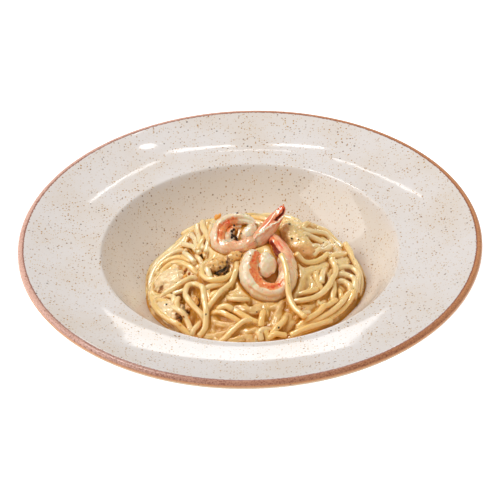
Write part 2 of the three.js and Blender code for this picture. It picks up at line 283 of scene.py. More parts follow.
class Graph:
    """The node graph of one material, with one method for every kind of node."""

    def __init__(self, name: str) -> None:
        """Start an empty material with an output node.

        Args:
            name: name of the material.
        """
        self.material = bpy.data.materials.new(name)
        self.material.use_nodes = True
        self.tree = self.material.node_tree
        self.tree.nodes.clear()
        self.output = self.tree.nodes.new("ShaderNodeOutputMaterial")

    def node(self, kind: str, settings: dict | None = None, inputs: dict | None = None) -> bpy.types.Node:
        """Add a node, set its settings, then fill or link its sockets.

        Args:
            kind: node type.
            settings: properties of the node, set first.
            inputs: values or links by socket name or number.

        Returns:
            The node.
        """
        made = self.tree.nodes.new(kind)
        for key, value in (settings or {}).items():
            setattr(made, key, value)
        for key, value in (inputs or {}).items():
            self.feed(made.inputs[key], value)
        return made

    def feed(self, socket: Socket, value: Value) -> None:
        """Link a signal or socket to a socket, or set its default value.

        Args:
            socket: socket of a node.
            value: signal, socket, number or colour.
        """
        if isinstance(value, Signal):
            value = value.socket
        if isinstance(value, Socket):
            self.tree.links.new(value, socket)
        elif isinstance(value, tuple) and len(value) == 3 and socket.type == "RGBA":
            socket.default_value = (*value, 1.0)
        else:
            socket.default_value = value

    def math(self, operation: str, a: Value, b: Value = 0.0) -> Signal:
        """One Math node on two numbers."""
        made = self.node("ShaderNodeMath", {"operation": operation}, {0: a, 1: b})
        return Signal(self, made.outputs[0])

    def millimetres(self) -> Socket:
        """Object coordinates in millimetres."""
        place = self.node("ShaderNodeTexCoord").outputs["Object"]
        scale = {0: place, 1: (1.0 / METRES,) * 3}
        return self.node("ShaderNodeVectorMath", {"operation": "MULTIPLY"}, scale).outputs["Vector"]

    def axes(self, place: Value) -> list[Signal]:
        """The x, y and z of a position."""
        parts = self.node("ShaderNodeSeparateXYZ", None, {0: place}).outputs
        return [Signal(self, part) for part in parts]

    def attribute(self, label: str) -> Signal:
        """A number kept on the vertices."""
        return Signal(self, self.node("ShaderNodeAttribute", {"attribute_name": label}).outputs["Fac"])

    def vector(self, x: Value, y: Value, z: Value) -> Socket:
        """A vector from three numbers."""
        return self.node("ShaderNodeCombineXYZ", None, {0: x, 1: y, 2: z}).outputs[0]

    def noise(self, place: Value, size: float, detail: float = 2.0, rough: float = 0.5) -> Signal:
        """Noise round 0.5 with features of a size."""
        inputs = {"Vector": place, "Scale": 1.0 / size, "Detail": detail, "Roughness": rough}
        return Signal(self, self.node("ShaderNodeTexNoise", None, inputs).outputs[0])

    def grains(self, place: Value, size: float, keep: float, reach: float) -> Signal:
        """Round specks, one in a share of the cells of a size, each of its own radius.

        Args:
            place: position.
            size: cell size.
            keep: share of the cells that hold a speck.
            reach: largest radius as a share of the cell size.

        Returns:
            1 in a speck and 0 outside it.
        """
        cell = self.node("ShaderNodeTexVoronoi", None, {"Vector": place, "Scale": 1.0 / size})
        parts = self.node("ShaderNodeSeparateColor", None, {0: cell.outputs["Color"]})
        draw = Signal(self, parts.outputs[0])
        distance = Signal(self, cell.outputs["Distance"])
        radius = (1.0 - draw / keep).most(0.0) * reach
        return ((radius - distance) * (3.0 / reach)).step(0.0, 1.0)

    def mix(self, share: Value, a: Value, b: Value) -> Socket:
        """Mix two colours.

        Args:
            share: share of the second colour.
            a: first colour.
            b: second colour.

        Returns:
            The mixed colour.
        """
        made = self.node("ShaderNodeMix", {"data_type": "RGBA", "clamp_factor": True}, {"Factor": share})
        self.feed(made.inputs[6], a)
        self.feed(made.inputs[7], b)
        return made.outputs[2]

    def bump(self, height: Value, depth: float, strength: float, over: Value = None) -> Value:
        """A normal from a height times a depth, over another normal.

        Args:
            height: height in 0..1.
            depth: what a height of 1 stands for, in mm.
            strength: strength of the bump.
            over: the normal under it.

        Returns:
            The normal.
        """
        inputs = {"Height": height, "Distance": depth * METRES, "Strength": strength}
        if over is not None:
            inputs["Normal"] = over
        return self.node("ShaderNodeBump", None, inputs).outputs["Normal"]

    def surface(self, varying: dict[str, Value], fixed: dict[str, Value]) -> Material:
        """Finish the material with one Principled shader.

        Args:
            varying: sockets fed by the graph.
            fixed: sockets set to one value.

        Returns:
            The material.
        """
        shader = self.node("ShaderNodeBsdfPrincipled", None, {**varying, **fixed})
        self.tree.links.new(shader.outputs[0], self.output.inputs["Surface"])
        return self.material


def colour(red: float, green: float, blue: float) -> Colour:
    """A display colour in 0..255 as the linear light that the shaders use."""
    shares = np.array([red, green, blue]) / 255.0
    linear = np.where(shares <= 0.04045, shares / 12.92, ((shares + 0.055) / 1.055) ** 2.4)
    return tuple(float(v) for v in linear)


@dataclass(frozen=True)
class WetFood:
    """Wet food: light sinks into it under a clear film, and each kind paints itself."""

    label: str = "wet_food"
    roughness: float = 0.2
    ior: float = 1.35
    sunk: float = 0.3  # share of the light that sinks in
    spread: Triple = (1.0, 0.6, 0.3)  # how far each colour spreads, as shares of the reach
    reach: float = 0.0014  # metres
    film_roughness: float = 0.06
    film_ior: float = 1.8

    def paint(self, g: Graph, place: Value) -> dict[str, Value]:
        """Work out what varies over the surface.

        Args:
            g: the graph.
            place: position in millimetres.

        Returns:
            The signals by socket.
        """
        raise NotImplementedError

    def material(self) -> Material:
        """Build the finish.

        Returns:
            The material.
        """
        g = Graph(self.label)
        fixed = {
            "IOR": self.ior,
            "Subsurface Weight": self.sunk,
            "Subsurface Radius": self.spread,
            "Subsurface Scale": self.reach,
            "Coat Roughness": self.film_roughness,
            "Coat IOR": self.film_ior,
        }
        return g.surface(self.paint(g, g.millimetres()), fixed)


# ---------------------------------------------------------------- the plate


@dataclass(frozen=True)
class SpeckledGlaze:
    """Warm off-white reactive glaze with iron specks, breaking to bare brown clay at the lip."""

    ground: Colour = colour(230, 223, 219)
    warm: Colour = colour(226, 215, 205)
    tan: Colour = colour(206, 168, 98)
    rust: Colour = colour(176, 126, 48)
    brown: Colour = colour(124, 76, 16)
    dark: Colour = colour(72, 42, 10)
    # The well's colour: partly a warmer glaze, partly painted shade and painted light bounced from the
    # food.
    well_glaze_and_shade: Colour = colour(228, 216, 201)
    # The lip's colour on the left, paler and pinker by a painted sheen.
    clay: Colour = colour(230, 184, 166)
    clay_right: Colour = colour(206, 142, 96)
    clay_dark: Colour = colour(132, 70, 50)
    clay_orange: Colour = colour(214, 146, 90)
    unglazed: Colour = colour(205, 176, 138)
    roughness: float = 0.055

    def material(self) -> Material:
        """Build the glaze.

        Returns:
            The finish of the plate.
        """
        g = Graph("speckled_glaze")
        place = g.millimetres()
        x, y, _ = g.axes(place)
        lip, well = g.attribute("lip"), g.attribute("well")
        cloud = g.noise(place, 34.0, 3.0, 0.55)
        base = g.mix(cloud.step(0.35, 0.7), self.ground, self.warm)
        gather = g.noise(place, 17.0, 2.0, 0.5).step(0.34, 0.66)
        # The well painted warmer and darker than the rim: partly glaze, partly painted shade and bounced
        # light.
        base = g.mix(well * 0.8, base, self.well_glaze_and_shade)
        dust = g.grains(place, 1.3, 0.95, 0.36) * (0.5 + 0.5 * gather)
        fine = g.grains(place, 1.75, 0.95, 0.38) * (0.45 + 0.55 * gather)
        middle = g.grains(place, 2.5, 0.6, 0.27) * (0.5 + 0.5 * gather + 0.2 * well)
        heavy = g.grains(place, 4.8, 0.5, 0.16) * (0.6 + 0.4 * gather)
        base = g.mix(dust, base, self.tan)
        base = g.mix(fine, base, self.rust)
        base = g.mix(middle.least(0.9), base, self.brown)
        base = g.mix(heavy.least(0.95), base, self.dark)
        ragged = (g.noise(place, 1.3, 3.0, 0.65) - 0.5) * 1.5
        edge = (lip + ragged).step(-0.35, 0.1)
        mottle = g.noise(place, 0.9, 3.0, 0.75)
        # Painted sheen: the lip paler and pinker on the left, where the key light glances off it.
        clay = g.mix(x.step(-90.0, 90.0), self.clay, self.clay_right)
        rim = g.mix(mottle.step(0.42, 0.85) * 0.85, clay, self.clay_dark)
        # Painted shade: the lip darker towards the front.
        ahead = y.step(-30.0, -125.0)
        rim = g.mix(ahead * (0.3 + 0.55 * mottle.step(0.4, 0.7)), rim, self.clay_dark)
        line = 1.0 - (lip + ragged).step(0.15, 1.1)
        rim = g.mix(line * 0.85, rim, self.clay_dark)
        rim = g.mix((lip + ragged * 0.4).step(3.7, 4.4) * 0.8, rim, self.clay_orange)
        rim = g.mix(g.grains(place, 2.4, 0.4, 0.26) * 0.8, rim, self.clay_dark)
        under = (lip + ragged * 0.3).step(5.0, 5.5)
        rim = g.mix(under, rim, self.warm)
        rim = g.mix(under * (1.0 - (lip + ragged * 0.3).step(6.2, 6.8)), rim, self.unglazed)
        base = g.mix(edge, base, rim)
        radius = (x * x + y * y) ** 0.5
        rings = g.noise(g.vector(radius * 0.9, x * 0.02, y * 0.02), 1.0, 3.0, 0.6)  # left by the wheel
        normal = g.bump(rings, 0.006, 0.5)
        normal = g.bump(g.noise(place, 9.0, 2.0, 0.5), 0.08, 0.3, normal)
        return g.surface(
            {"Base Color": base, "Roughness": self.roughness + 0.1 * edge, "Normal": normal},
            {"IOR": 1.5, "Specular IOR Level": 0.5},
        )


@dataclass
class Plate:
    """The wide-rimmed pasta plate: flat floor, deep well, wide rim, round lip and foot ring."""

    radius: float = 135.0
    height: float = 50.0
    floor: float = 8.6
    flat_radius: float = 44.0
    shoulder_radius: float = 86.5
    shoulder_height: float = 37.7
    wall_power: float = 2.35
    rim_start: float = 84.0
    rim_base: float = 39.0
    rim_rise: float = 10.86
    rim_span: float = 48.0
    rim_power: float = 1.6
    shoulder_blend: float = 0.55
    lip_radius: float = 2.4
    wall_shift: float = 3.2
    wall_drop: float = 4.2
    rim_thickness: float = 4.4
    underside_blend: float = 1.5
    foot: tuple[tuple[float, float], ...] = (
        (57.4, 4.7), (56.0, 2.8), (55.4, 0.4), (55.0, 0.0), (51.5, 0.0), (51.1, 0.4), (50.5, 3.2),
        (48.9, 4.0), (30.0, 4.0), (0.0, 4.0),
    )
    segments: int = 288
    finish: SpeckledGlaze = field(default_factory=SpeckledGlaze)

    def wall_height(self, r: Array) -> Array:
        """Height of the well: its floor, then a power curve up to the shoulder."""
        u = np.clip(np.asarray(r, float) - self.flat_radius, 0.0, None)
        u = u / (self.shoulder_radius - self.flat_radius)
        return self.floor + (self.shoulder_height - self.floor) * u**self.wall_power

    def rim_height(self, r: Array) -> Array:
        """Height of the wide rim's upper face."""
        u = np.clip(np.asarray(r, float) - self.rim_start, 0.0, None) / self.rim_span
        return self.rim_base + self.rim_rise * u**self.rim_power

    def top(self, r: Array) -> Array:
        """Height of the glaze at a radius."""
        return soft_min(self.wall_height(r), self.rim_height(r), self.shoulder_blend)

    def underside(self, r: Array) -> Array:
        """Height of the lower face at a radius outside the foot ring."""
        wall = self.wall_height(r - self.wall_shift) - self.wall_drop
        return soft_min(wall, self.rim_height(r) - self.rim_thickness, self.underside_blend)

    def profile(self) -> tuple[Array, Array]:
        """The plate's section, from the middle of the floor round to the middle of the underside.

        Returns:
            Points (radius, height), and each point's distance along the lip from its inner edge.
        """
        upper = np.concatenate(
            [np.linspace(0.0, 40.0, 9), np.linspace(44.0, 82.0, 28), np.linspace(83.0, 90.0, 22)]
        )
        upper = np.concatenate([upper, np.linspace(92.0, 131.4, 27)])
        angle = np.radians(np.linspace(78.0, -84.0, 22))
        centre = np.array([self.radius - self.lip_radius, self.height - self.lip_radius])
        arc = centre + self.lip_radius * np.stack([np.cos(angle), np.sin(angle)], -1)
        lower = np.concatenate([np.linspace(130.0, 92.0, 20), np.linspace(90.5, 62.0, 24)])
        points = np.concatenate(
            [
                np.stack([upper, self.top(upper)], -1),
                arc,
                np.stack([lower, self.underside(lower)], -1),
                np.array(self.foot),
            ]
        )
        steps = np.linalg.norm(np.diff(points, axis=0), axis=1)
        along = np.concatenate([[0.0], np.cumsum(steps)])
        return points, along - along[len(upper) - 1]

    def build(self) -> Piece:
        """Turn the section and dress it.

        Returns:
            The plate.
        """
        section, along = self.profile()
        points, faces = lathe(section, self.segments)
        inner = np.repeat(along[1:-1], self.segments)
        lip = np.concatenate([inner, along[[0, -1]]])
        reach = np.hypot(points[:, 0], points[:, 1])
        well = 1.0 - smooth_step(reach, self.shoulder_radius - 4.0, self.shoulder_radius + 3.0)
        return fill_mesh(
            "pasta_plate",
            points,
            faces,
            self.finish.material(),
            {"lip": np.clip(lip, -30.0, 30.0), "well": well},
            ["plate"],
        )


# ---------------------------------------------------------------- lines and sweeps


def through(points: Array, spacing: float) -> Array:
    """A smooth line through points: centripetal Catmull-Rom spans, then even steps of arc length.

    Args:
        points: the points it passes, in any number of dimensions.
        spacing: distance between the samples.

    Returns:
        The samples.
    """
    p = np.asarray(points, float)
    p = np.concatenate([[2 * p[0] - p[1]], p, [2 * p[-1] - p[-2]]])
    knots = np.maximum(np.linalg.norm(np.diff(p, axis=0), axis=1), 1e-6) ** 0.5
    t = np.concatenate([[0.0], np.cumsum(knots)])
    t0, t1, t2, t3 = (t[k : len(t) - 3 + k, None, None] for k in range(4))
    p0, p1, p2, p3 = (p[k : len(p) - 3 + k, None, :] for k in range(4))
    s = t1 + (t2 - t1) * np.linspace(0.0, 1.0, 24)[None, :, None]
    a1 = (t1 - s) / (t1 - t0) * p0 + (s - t0) / (t1 - t0) * p1
    a2 = (t2 - s) / (t2 - t1) * p1 + (s - t1) / (t2 - t1) * p2
    a3 = (t3 - s) / (t3 - t2) * p2 + (s - t2) / (t3 - t2) * p3
    b1 = (t2 - s) / (t2 - t0) * a1 + (s - t0) / (t2 - t0) * a2
    b2 = (t3 - s) / (t3 - t1) * a2 + (s - t1) / (t3 - t1) * a3
    dense = ((t2 - s) / (t2 - t1) * b1 + (s - t1) / (t2 - t1) * b2).reshape(-1, p.shape[1])
    return even_steps(dense, spacing)


def even_steps(line: Array, spacing: float) -> Array:
    """Resample a line in equal steps of arc length close to a spacing.

    Args:
        line: dense samples.
        spacing: wanted distance between the new samples.

    Returns:
        The new samples, with both ends kept.
    """
    steps = np.linalg.norm(np.diff(line, axis=0), axis=1)
    along = np.concatenate([[0.0], np.cumsum(steps)])
    count = max(4, int(round(along[-1] / spacing)) + 1)
    wanted = np.linspace(0.0, along[-1], count)
    return np.stack([np.interp(wanted, along, line[:, k]) for k in range(line.shape[1])], -1)


def smoothed(values: Array, width: float) -> Array:
    """Blur a row of values with a Gaussian of a width in samples, reflected at both ends.

    Args:
        values: the row.
        width: standard deviation in samples.

    Returns:
        The blurred row.
    """
    reach = min(int(3 * width) + 1, len(values) - 1)
    kernel = np.exp(-0.5 * (np.arange(-reach, reach + 1) / width) ** 2)
    padded = np.pad(values, reach, mode="reflect", reflect_type="odd")
    return np.convolve(padded, kernel / kernel.sum(), mode="valid")


def smoothed_line(line: Array, width: float) -> Array:
    """A line with each of its coordinates smoothed."""
    return np.stack([smoothed(row, width) for row in line.T], -1)


def unit(vectors: Array) -> Array:
    """Vectors of length one."""
    return vectors / np.maximum(np.linalg.norm(vectors, axis=-1, keepdims=True), 1e-12)


def tangents(line: Array) -> Array:
    """Unit directions along a line."""
    return unit(np.gradient(line, axis=0))


@dataclass
class Shape:
    """Vertices, faces and vertex values that grow as parts are added."""

    points: list[Array] = field(default_factory=list)
    quads: list[Array] = field(default_factory=list)
    triangles: list[Array] = field(default_factory=list)
    values: dict[str, list[Array]] = field(default_factory=dict)
    count: int = 0

    def add(self, points: Array, faces: Sequence[Array], values: dict[str, Any] | None = None) -> None:
        """Append a part.

        Args:
            points: its vertices.
            faces: its faces, numbered from its own first vertex.
            values: its vertex values.
        """
        for block in faces:
            target = self.quads if block.shape[1] == 4 else self.triangles
            target.append(block + self.count)
        self.points.append(points)
        for label, numbers in (values or {}).items():
            self.values.setdefault(label, []).append(np.broadcast_to(numbers, (len(points),)))
        self.count += len(points)

    def fill(self, name: str, slot: Slot, material: Material, replaces: Sequence[str] = ()) -> Piece:
        """Turn the gathered parts into one piece.

        Args:
            name: name of the piece.
            slot: not used.
            material: its finish.
            replaces: CAD nodes that it stands for.

        Returns:
            The piece.
        """
        points = np.concatenate(self.points)
        faces = [np.concatenate(blocks) for blocks in (self.quads, self.triangles) if blocks]
        values = {label: np.concatenate(rows) for label, rows in self.values.items()}
        return fill_mesh(name, points, faces, material, values, replaces)


@dataclass
class Topping:
    """A shrimp or a mussel made of its parts."""

    name: str
    parts: tuple[Any, ...]
    slot: Slot = Slot.SHRIMP
    kind: str = "flesh"

    def shape(self) -> Shape:
        """Gather all parts.

        Returns:
            The whole shape.
        """
        whole = Shape()
        for part in self.parts:
            whole.add(*part.shape())
        return whole

    def build(self, material: Material) -> Piece:
        """Make the topping's mesh in the place of its CAD node."""
        return self.shape().fill(f"{self.name}_{self.kind}", self.slot, material, [self.name])


def stations(count: int, sides: int) -> Array:
    """The station of each vertex of a closed sweep."""
    return np.concatenate([np.repeat(np.arange(1, count - 1), sides), [0, count - 1]])


def closed_sweep(
    centres: Array, across: Array, up: Array, reach: Array, angle: Array, squash: float = 1.0
) -> tuple[Array, list[Array]]:
    """Carry a section along a line: centre + reach (across cos angle + up squash sin angle).

    Args:
        centres: line, one point a station; the first and last become the end points.
        across: unit vectors of the section's first axis.
        up: unit vectors of the section's second axis; across x up runs along the line.
        reach: the section's radius, stations by sides.
        angle: the angle of each side.
        squash: height of the section as a share of its width.

    Returns:
        Vertices and faces.
    """
    x, y = (reach * np.cos(angle))[1:-1], (reach * np.sin(angle) * squash)[1:-1]
    body = centres[1:-1, None] + across[1:-1, None] * x[..., None] + up[1:-1, None] * y[..., None]
    points = np.concatenate([body.reshape(-1, 3), centres[:1], centres[-1:]])
    return points, tube_faces(*x.shape)


def frames(line: Array, reference: Array) -> tuple[Array, Array, Array]:
    """Axes along a line: its direction, the reference made square to it, and their cross product.

    Args:
        line: the line.
        reference: a vector, or one a station, that is never along the line.

    Returns:
        Unit directions, unit across = up x direction and unit up.
    """
    along = tangents(line)
    reference = np.broadcast_to(reference, line.shape)
    up = unit(reference - (reference * along).sum(-1, keepdims=True) * along)
    return along, np.cross(up, along), up


# ---------------------------------------------------------------- the heap's form


@dataclass
class HeapForm:
    """Outline and mean height of the heap of spaghetti, as its CAD solid has them."""

    plate: Plate
    centre: tuple[float, float] = (1.0, -1.0)
    radius: float = 65.2
    base: float = 12.6
    rise: float = 19.5
    edge_lift: float = 1.0
    dome_power: float = 2.5  # flatness of the dome's top
    flank: float = 0.85  # steepness of its side
    pool: float = 12.2  # height of the cream
    gap: float = 0.3
    hold: int = 40  # how sharply strands are kept inside the outline
    # Waves of the outline: how many round it, height, phase. Dents: direction, width, depth.
    waves: tuple[Triple, ...] = ((1, 1.2, 0.0), (3, 0.8, -0.9), (5, 0.6, 0.7), (8, 0.5, 1.9))
    dents: tuple[Triple, ...] = ((0.62, 0.42, 3.2), (2.55, 0.35, 2.2))
    # Tangles that stand above the dome, or dip: x, y, radius, height.
    tangles: tuple[tuple[float, float, float, float], ...] = (
        (-31, 33, 8, 7.0), (-19, 36, 6, 2.5), (35, 36, 11, 8.5), (52, 8, 10, 3.0), (-44, -2, 11, 2.0),
        (-46, -33, 10, 2.0), (30, -44, 14, 3.0), (-2, 8, 22, 2.5), (-28, -30, 8, 1.5), (-8, 21, 9, 2.0),
        (9, -25, 14, -6.0),
    )

    def outline(self, angle: Array) -> Array:
        """Distance from the centre to the outline: a circle with waves, drawn in at two dents.

        Args:
            angle: directions from the centre.

        Returns:
            Distances.
        """
        reach = np.full(np.shape(angle), self.radius)
        for count, height, phase in self.waves:
            reach = reach + height * np.cos(count * angle + phase)
        for at, width, depth in self.dents:
            reach = reach - depth * bell(np.mod(angle, TURN) - at, width)
        return reach

    def polar(self, x: Array, y: Array) -> tuple[Array, Array]:
        """Share of the way out to the outline, and the direction."""
        dx, dy = x - self.centre[0], y - self.centre[1]
        angle = np.arctan2(dy, dx)
        return np.hypot(dx, dy) / self.outline(angle), angle

    def bed(self, x: Array, y: Array) -> Array:
        """Height of the cream pool, and of the well's wall outside it."""
        return np.maximum(self.pool, self.plate.top(np.hypot(x, y)))

    def top(self, x: Array, y: Array, dips: bool = True) -> Array:
        """Mean height of the heap: a dome on its bed, with tangles that stand above or dip.

        Args:
            x: places across.
            y: places backwards.
            dips: whether the tangles that dip count.

        Returns:
            Heights.
        """
        share, angle = self.polar(x, y)
        share = np.clip(share, 0.0, 1.0)
        reach = self.outline(angle)
        rim_x = self.centre[0] + reach * np.cos(angle)
        rim_y = self.centre[1] + reach * np.sin(angle)
        edge = self.bed(rim_x, rim_y) + self.gap + self.edge_lift
        z = self.base + (edge - self.base) * share**3
        z = z + self.rise * (1.0 - share**self.dome_power) ** self.flank
        inside = 1.0 - share**6
        for at_x, at_y, radius, height in self.tangles:
            if height > 0.0 or dips:
                z = z + inside * height * hill(x, y, at_x, at_y, radius)
        return z

    def kept_inside(self, x: Array, y: Array, limit: float) -> tuple[Array, Array]:
        """Draw points in towards the centre: their share u becomes u / (1 + (u/limit)^n)^(1/n).

        Args:
            x: places across.
            y: places backwards.
            limit: largest share.

        Returns:
            The moved places.
        """
        share, angle = self.polar(x, y)
        drawn = share / (1.0 + (share / limit) ** self.hold) ** (1.0 / self.hold)
        reach = drawn * self.outline(angle)
        return self.centre[0] + reach * np.cos(angle), self.centre[1] + reach * np.sin(angle)


class HeightMap:
    """Heights on a square grid over the well, raised as strands are laid."""

    half = 74.0
    pitch = 0.5

    def __init__(self, height: Callable[[Array, Array], Array]) -> None:
        """Fill the grid from a function of x and y."""
        self.axis = np.arange(-self.half, self.half + self.pitch / 2, self.pitch)
        self.x, self.y = np.meshgrid(self.axis, self.axis, indexing="ij")
        self.height = np.asarray(height(self.x, self.y), float)

    def sample(self, x: Array, y: Array, grid: Array | None = None) -> Array:
        """Read the heights, or another grid of the same size, between its points.

        Args:
            x: places across.
            y: places backwards.
            grid: the other grid.

        Returns:
            Heights at the places.
        """
        grid = self.height if grid is None else grid
        last = len(self.axis) - 1.001
        u = np.clip((x + self.half) / self.pitch, 0.0, last)
        v = np.clip((y + self.half) / self.pitch, 0.0, last)
        i, j = u.astype(int), v.astype(int)
        p, q = u - i, v - j
        low = grid[i, j] * (1 - p) + grid[i + 1, j] * p
        high = grid[i, j + 1] * (1 - p) + grid[i + 1, j + 1] * p
        return low * (1 - q) + high * q

    def along(self, line: Array, grid: Array | None = None) -> Array:
        """Read the heights, or another grid, along a line."""
        return self.sample(line[:, 0], line[:, 1], grid)

    def rest(self, line: Array, radius: float) -> Array:
        """Height of a ball's centre when it lies on the map: the most of height + (r^2 - d^2)^1/2.

        Args:
            line: places along a line.
            radius: the ball's radius.

        Returns:
            Heights of the centre.
        """
        x, y = line[:, 0], line[:, 1]
        best = np.full(len(line), -AWAY)
        steps = np.array([-0.9, -0.45, 0.0, 0.45, 0.9]) * radius
        for dx in steps:
            for dy in steps:
                left = radius**2 - dx * dx - dy * dy
                if left > 0:
                    best = np.maximum(best, self.sample(x + dx, y + dy) + math.sqrt(left))
        return best

    def cells(self, path: Array) -> Array:
        """Grid numbers of the points of a path."""
        return np.rint((path[:, :2] + self.half) / self.pitch).astype(int)

    def stamp(self, path: Array, radius: float) -> None:
        """Raise the map under balls of a radius along a path."""
        self.height = self.stamped(path, radius, self.height)

    def stamped(self, path: Array, radius: float, grid: Array) -> Array:
        """A grid raised under balls of a radius along a path.

        Args:
            path: centres of the balls.
            radius: their radius.
            grid: the grid to raise, which is changed.

        Returns:
            The same grid.
        """
        span = int(radius / self.pitch) + 1
        offsets = np.arange(-span, span + 1)
        cells = self.cells(path)[:, :, None, None]
        i, j = np.broadcast_arrays(cells[:, 0] + offsets[:, None], cells[:, 1] + offsets[None, :])
        i, j = np.clip(i, 0, len(self.axis) - 1), np.clip(j, 0, len(self.axis) - 1)
        x, y, z = path.T[:, :, None, None]
        away = (self.axis[i] - x) ** 2 + (self.axis[j] - y) ** 2
        inside = away < radius**2
        height = z + np.sqrt(np.maximum(radius**2 - away, 0.0))
        np.maximum.at(grid, (i[inside], j[inside]), height[inside])
        return grid

    def blurred(self, grid: Array, width: float) -> Array:
        """Blur a grid by a bell curve, through its Fourier transform.

        Args:
            grid: the grid.
            width: width of the bell curve, in mm.

        Returns:
            The blurred grid.
        """
        pad = int(4 * width / self.pitch)
        wide = np.pad(grid, pad, mode="edge")
        fx = np.fft.fftfreq(wide.shape[0], self.pitch)[:, None]
        fy = np.fft.rfftfreq(wide.shape[1], self.pitch)[None, :]
        filtered = np.fft.rfft2(wide) * np.exp(-2.0 * (math.pi * width) ** 2 * (fx**2 + fy**2))
        soft = np.fft.irfft2(filtered, wide.shape)
        return soft[pad:-pad, pad:-pad]


# ---------------------------------------------------------------- spaghetti


@dataclass
class Strand:
    """One strand: its centre line, its radius and its own tone."""

    path: Array
    radius: float
    tone: float


@dataclass(frozen=True)
class PastaFinish(WetFood):
    """Cooked durum pasta, wet with cream: pale and creamy on top, amber painted shade on its sides and in
    crevices.
    """

    label: str = "creamed_pasta"
    roughness: float = 0.18
    spread: Triple = (1.0, 0.7, 0.35)
    film_roughness: float = 0.09
    film_ior: float = 1.9
    pale: Colour = colour(255, 228, 176)
    straw: Colour = colour(255, 212, 134)
    amber: Colour = colour(234, 160, 48)
    speck: Colour = colour(150, 92, 40)

    def paint(self, g: Graph, place: Value) -> dict[str, Value]:
        """Work out what varies over the surface.

        Args:
            g: the graph.
            place: position in millimetres.

        Returns:
            The signals by socket.
        """
        tone, depth = g.attribute("tone"), g.attribute("depth")
        cloud = g.noise(place, 5.5, 3.0, 0.6)
        streak = g.noise(place, 1.6, 2.0, 0.6)
        base = g.mix((tone * 0.7 + cloud * 0.75 - 0.35).step(0.1, 0.9), self.straw, self.pale)
        # Painted shade: the depth value turns the strands amber on their sides, under others and at the
        # front.
        base = g.mix((depth + (streak - 0.5) * 0.3).step(0.0, 0.95), base, self.amber)
        base = g.mix(g.grains(place, 2.4, 0.22, 0.16) * 0.55, base, self.speck)
        film = g.noise(place, 2.3, 3.0, 0.65)
        normal = g.bump(film, 0.34, 0.6)
        normal = g.bump(g.noise(place, 0.7, 2.0, 0.5), 0.05, 0.5, normal)
        return {
            "Base Color": base,
            "Roughness": self.roughness + 0.3 * (film - 0.4).most(0.0),
            "Normal": normal,
            "Coat Weight": 1.0 - 0.7 * depth.least(1.0),
        }


@dataclass(frozen=True)
class Fill:
    """How a target height is filled with wandering strands."""

    most: int  # strands to lay
    lengths: tuple[float, float]  # least and greatest, in mm
    tries: int  # lines drawn for each strand, of which the neediest is laid
    need: float  # mean shortfall, in mm, below which the work stops


# A laid strand: its places from above in millimetres, each with its lift where it has one. An end
# with no lift dives into the heap.
Lay = tuple[tuple[float, ...], ...]

